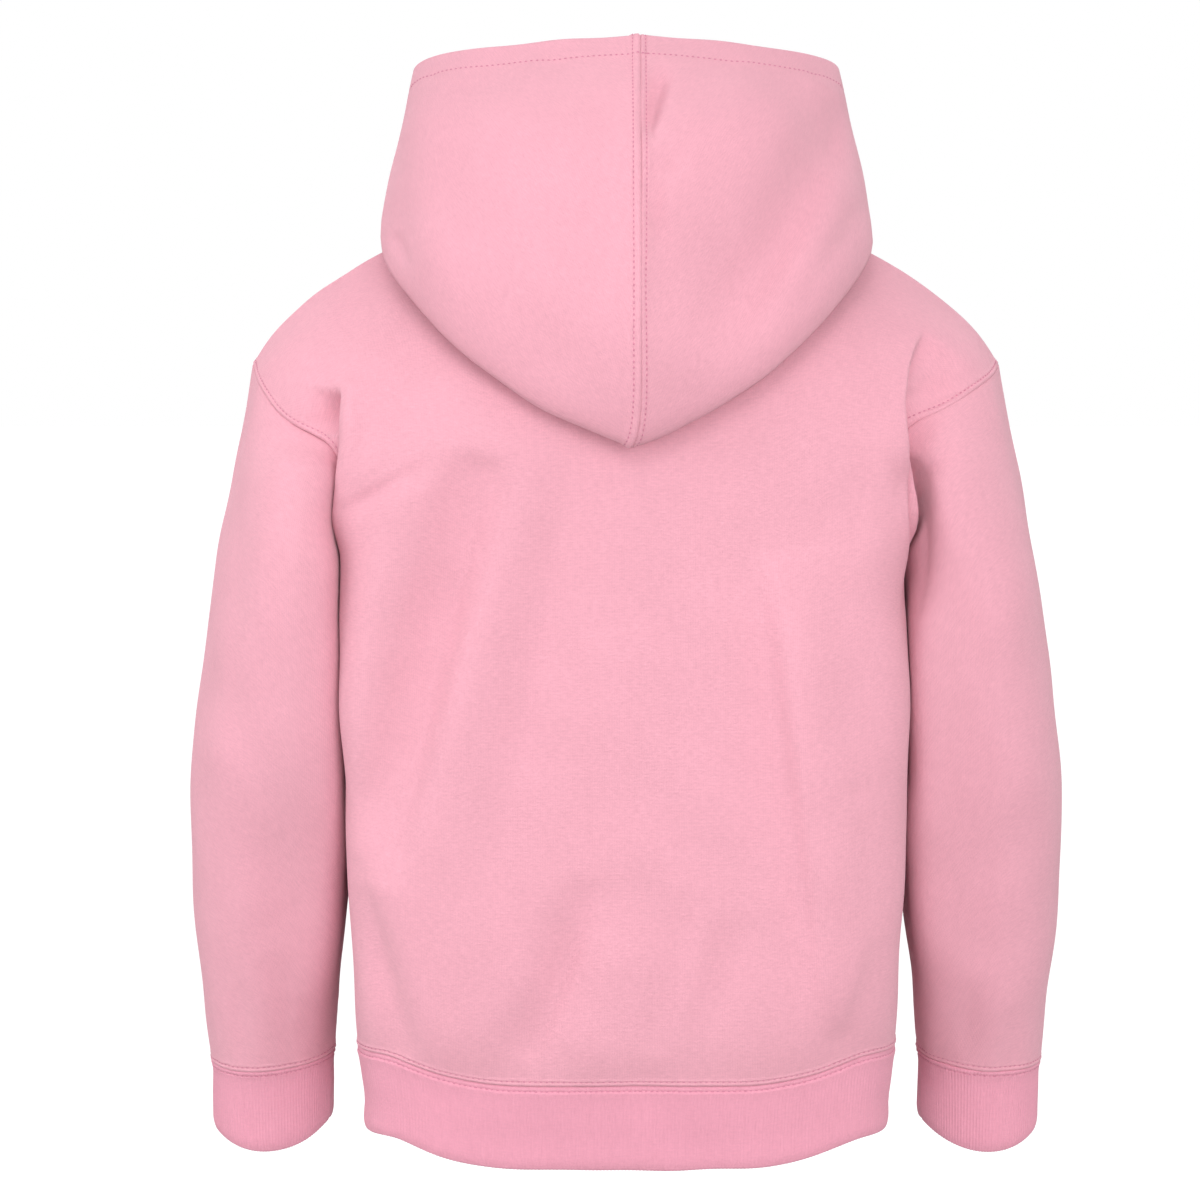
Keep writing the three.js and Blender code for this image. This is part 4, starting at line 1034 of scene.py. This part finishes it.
band.out += BAND_SWELL * stretch(band.up, BAND_SWELL_FROM, BAND_SWELL_TO)
band.sew("start", lift=0.3, needle=BAND_NEEDLE)
band.round_off("end")

# Each piece's cloth is meshed with its rib or fleece faces, and its CAD part is hidden.
for name, cloth in cloths.items():
    kind = name.split("_")[0]
    faces, slot = ((rib_face, rib_face), "rib_knit") if kind in RIBS else (
        (fleece_face, fleece_nap), "fleece")
    piece = cloth.mesh(f"{name}_cloth", *faces)
    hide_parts(name)

rows = {
    "waist_stitches": [cloths[face].row_beside("start", NEEDLE) for face in FACES]
        + [band.row_beside("start", BAND_NEEDLE)],
    "neck_stitches": [cloths[face].row_beside("end", NEEDLE, NECK_SEAM) for face in FACES],
    "hood_back_stitches": [cloths["hood_left"].row_beside("right", BACK_LAP_NEEDLE),
                           cloths["hood_right"].row_beside("right", NEEDLE)],
}
for side in SIDES:
    arm_edge = "right" if side == "left" else "left"
    rows[f"armhole_stitches_{side}"] = [cloths[face].row_beside(arm_edge, NEEDLE, ARM_SEAM)
                                        for face in FACES]
    rows[f"cuff_stitches_{side}"] = [cloths[f"sleeve_{side}"].row_beside("end", NEEDLE),
                                     cloths[f"cuff_{side}"].row_beside("start", BAND_NEEDLE)]
    rows[f"rim_stitches_{side}"] = [cloths[f"hood_{side}"].row_beside("end", HEM_NEEDLE)]
for name, lines in rows.items():
    stitches(name, lines, thread)

# -------- studio

TARGET = Vector((0.0148, 0, -0.221))
DISTANCE = 2.4
SPAN = 0.684  # width of the view at the target
ELEVATION = math.radians(5)
FLOOR_Z = -1.05
AMBIENT = 0.92
WHITE, FLOOR_GREY = (1, 1, 1, 1), (0.38, 0.38, 0.38, 1)
FLOOR_GLOW = 0.68  # makes the floor pale for the camera alone


def aimed(name, data, place):
    """An object at a place seen from the target, looking back at it."""
    made = bpy.data.objects.new(name, data)
    made.location = TARGET + place
    made.rotation_euler = place.to_track_quat("Z", "Y").to_euler()
    bpy.context.scene.collection.objects.link(made)
    return made


def camera():
    lens = bpy.data.cameras.new("camera")
    lens.sensor_width = 36
    lens.lens = lens.sensor_width * DISTANCE / SPAN
    way = Vector((0, math.cos(ELEVATION), math.sin(ELEVATION)))
    bpy.context.scene.camera = aimed("camera", lens, way * DISTANCE)


def soft_light(name, place, size, watts):
    lamp = bpy.data.lights.new(name, "AREA")
    lamp.shape = "DISK"
    lamp.size = size
    lamp.energy = watts
    aimed(name, lamp, Vector(place))


def studio():
    world = bpy.data.worlds.new("studio")
    world.use_nodes = True
    tree = world.node_tree
    ambient = tree.nodes["Background"]
    backdrop = tree.nodes.new("ShaderNodeBackground")  # seen by the camera alone
    chosen = tree.nodes.new("ShaderNodeMixShader")
    seen = tree.nodes.new("ShaderNodeLightPath").outputs["Is Camera Ray"]
    fill(tree, ambient, {"Color": WHITE, "Strength": AMBIENT})
    fill(tree, backdrop, {"Color": WHITE})
    fill(tree, chosen, {0: seen, 1: ambient.outputs[0], 2: backdrop.outputs[0]})
    fill(tree, tree.nodes["World Output"], {"Surface": chosen.outputs[0]})
    bpy.context.scene.world = world
    bpy.ops.mesh.primitive_plane_add(size=40, location=(0, 0, FLOOR_Z))
    floor = bpy.context.object
    floor.name = "floor"
    paint = Shader("floor_paint")
    fill(paint.tree, paint.surface, {
        "Base Color": FLOOR_GREY, "Roughness": 0.9, "Emission Color": WHITE,
        "Emission Strength": paint.math("MULTIPLY", paint.node("LightPath"), FLOOR_GLOW)})
    floor.data.materials.append(paint.material)
    bpy.context.scene.view_settings.view_transform = "Standard"


camera()
soft_light("key", (2.3, 0.6, 0.6), 1.2, 22)
soft_light("top", (0.3, 2.2, 1.7), 1.3, 16)
soft_light("fill", (-0.7, 2.5, 0.2), 1.8, 37)
soft_light("front", (0.2, -2.4, 1.0), 1.8, 30)
studio()
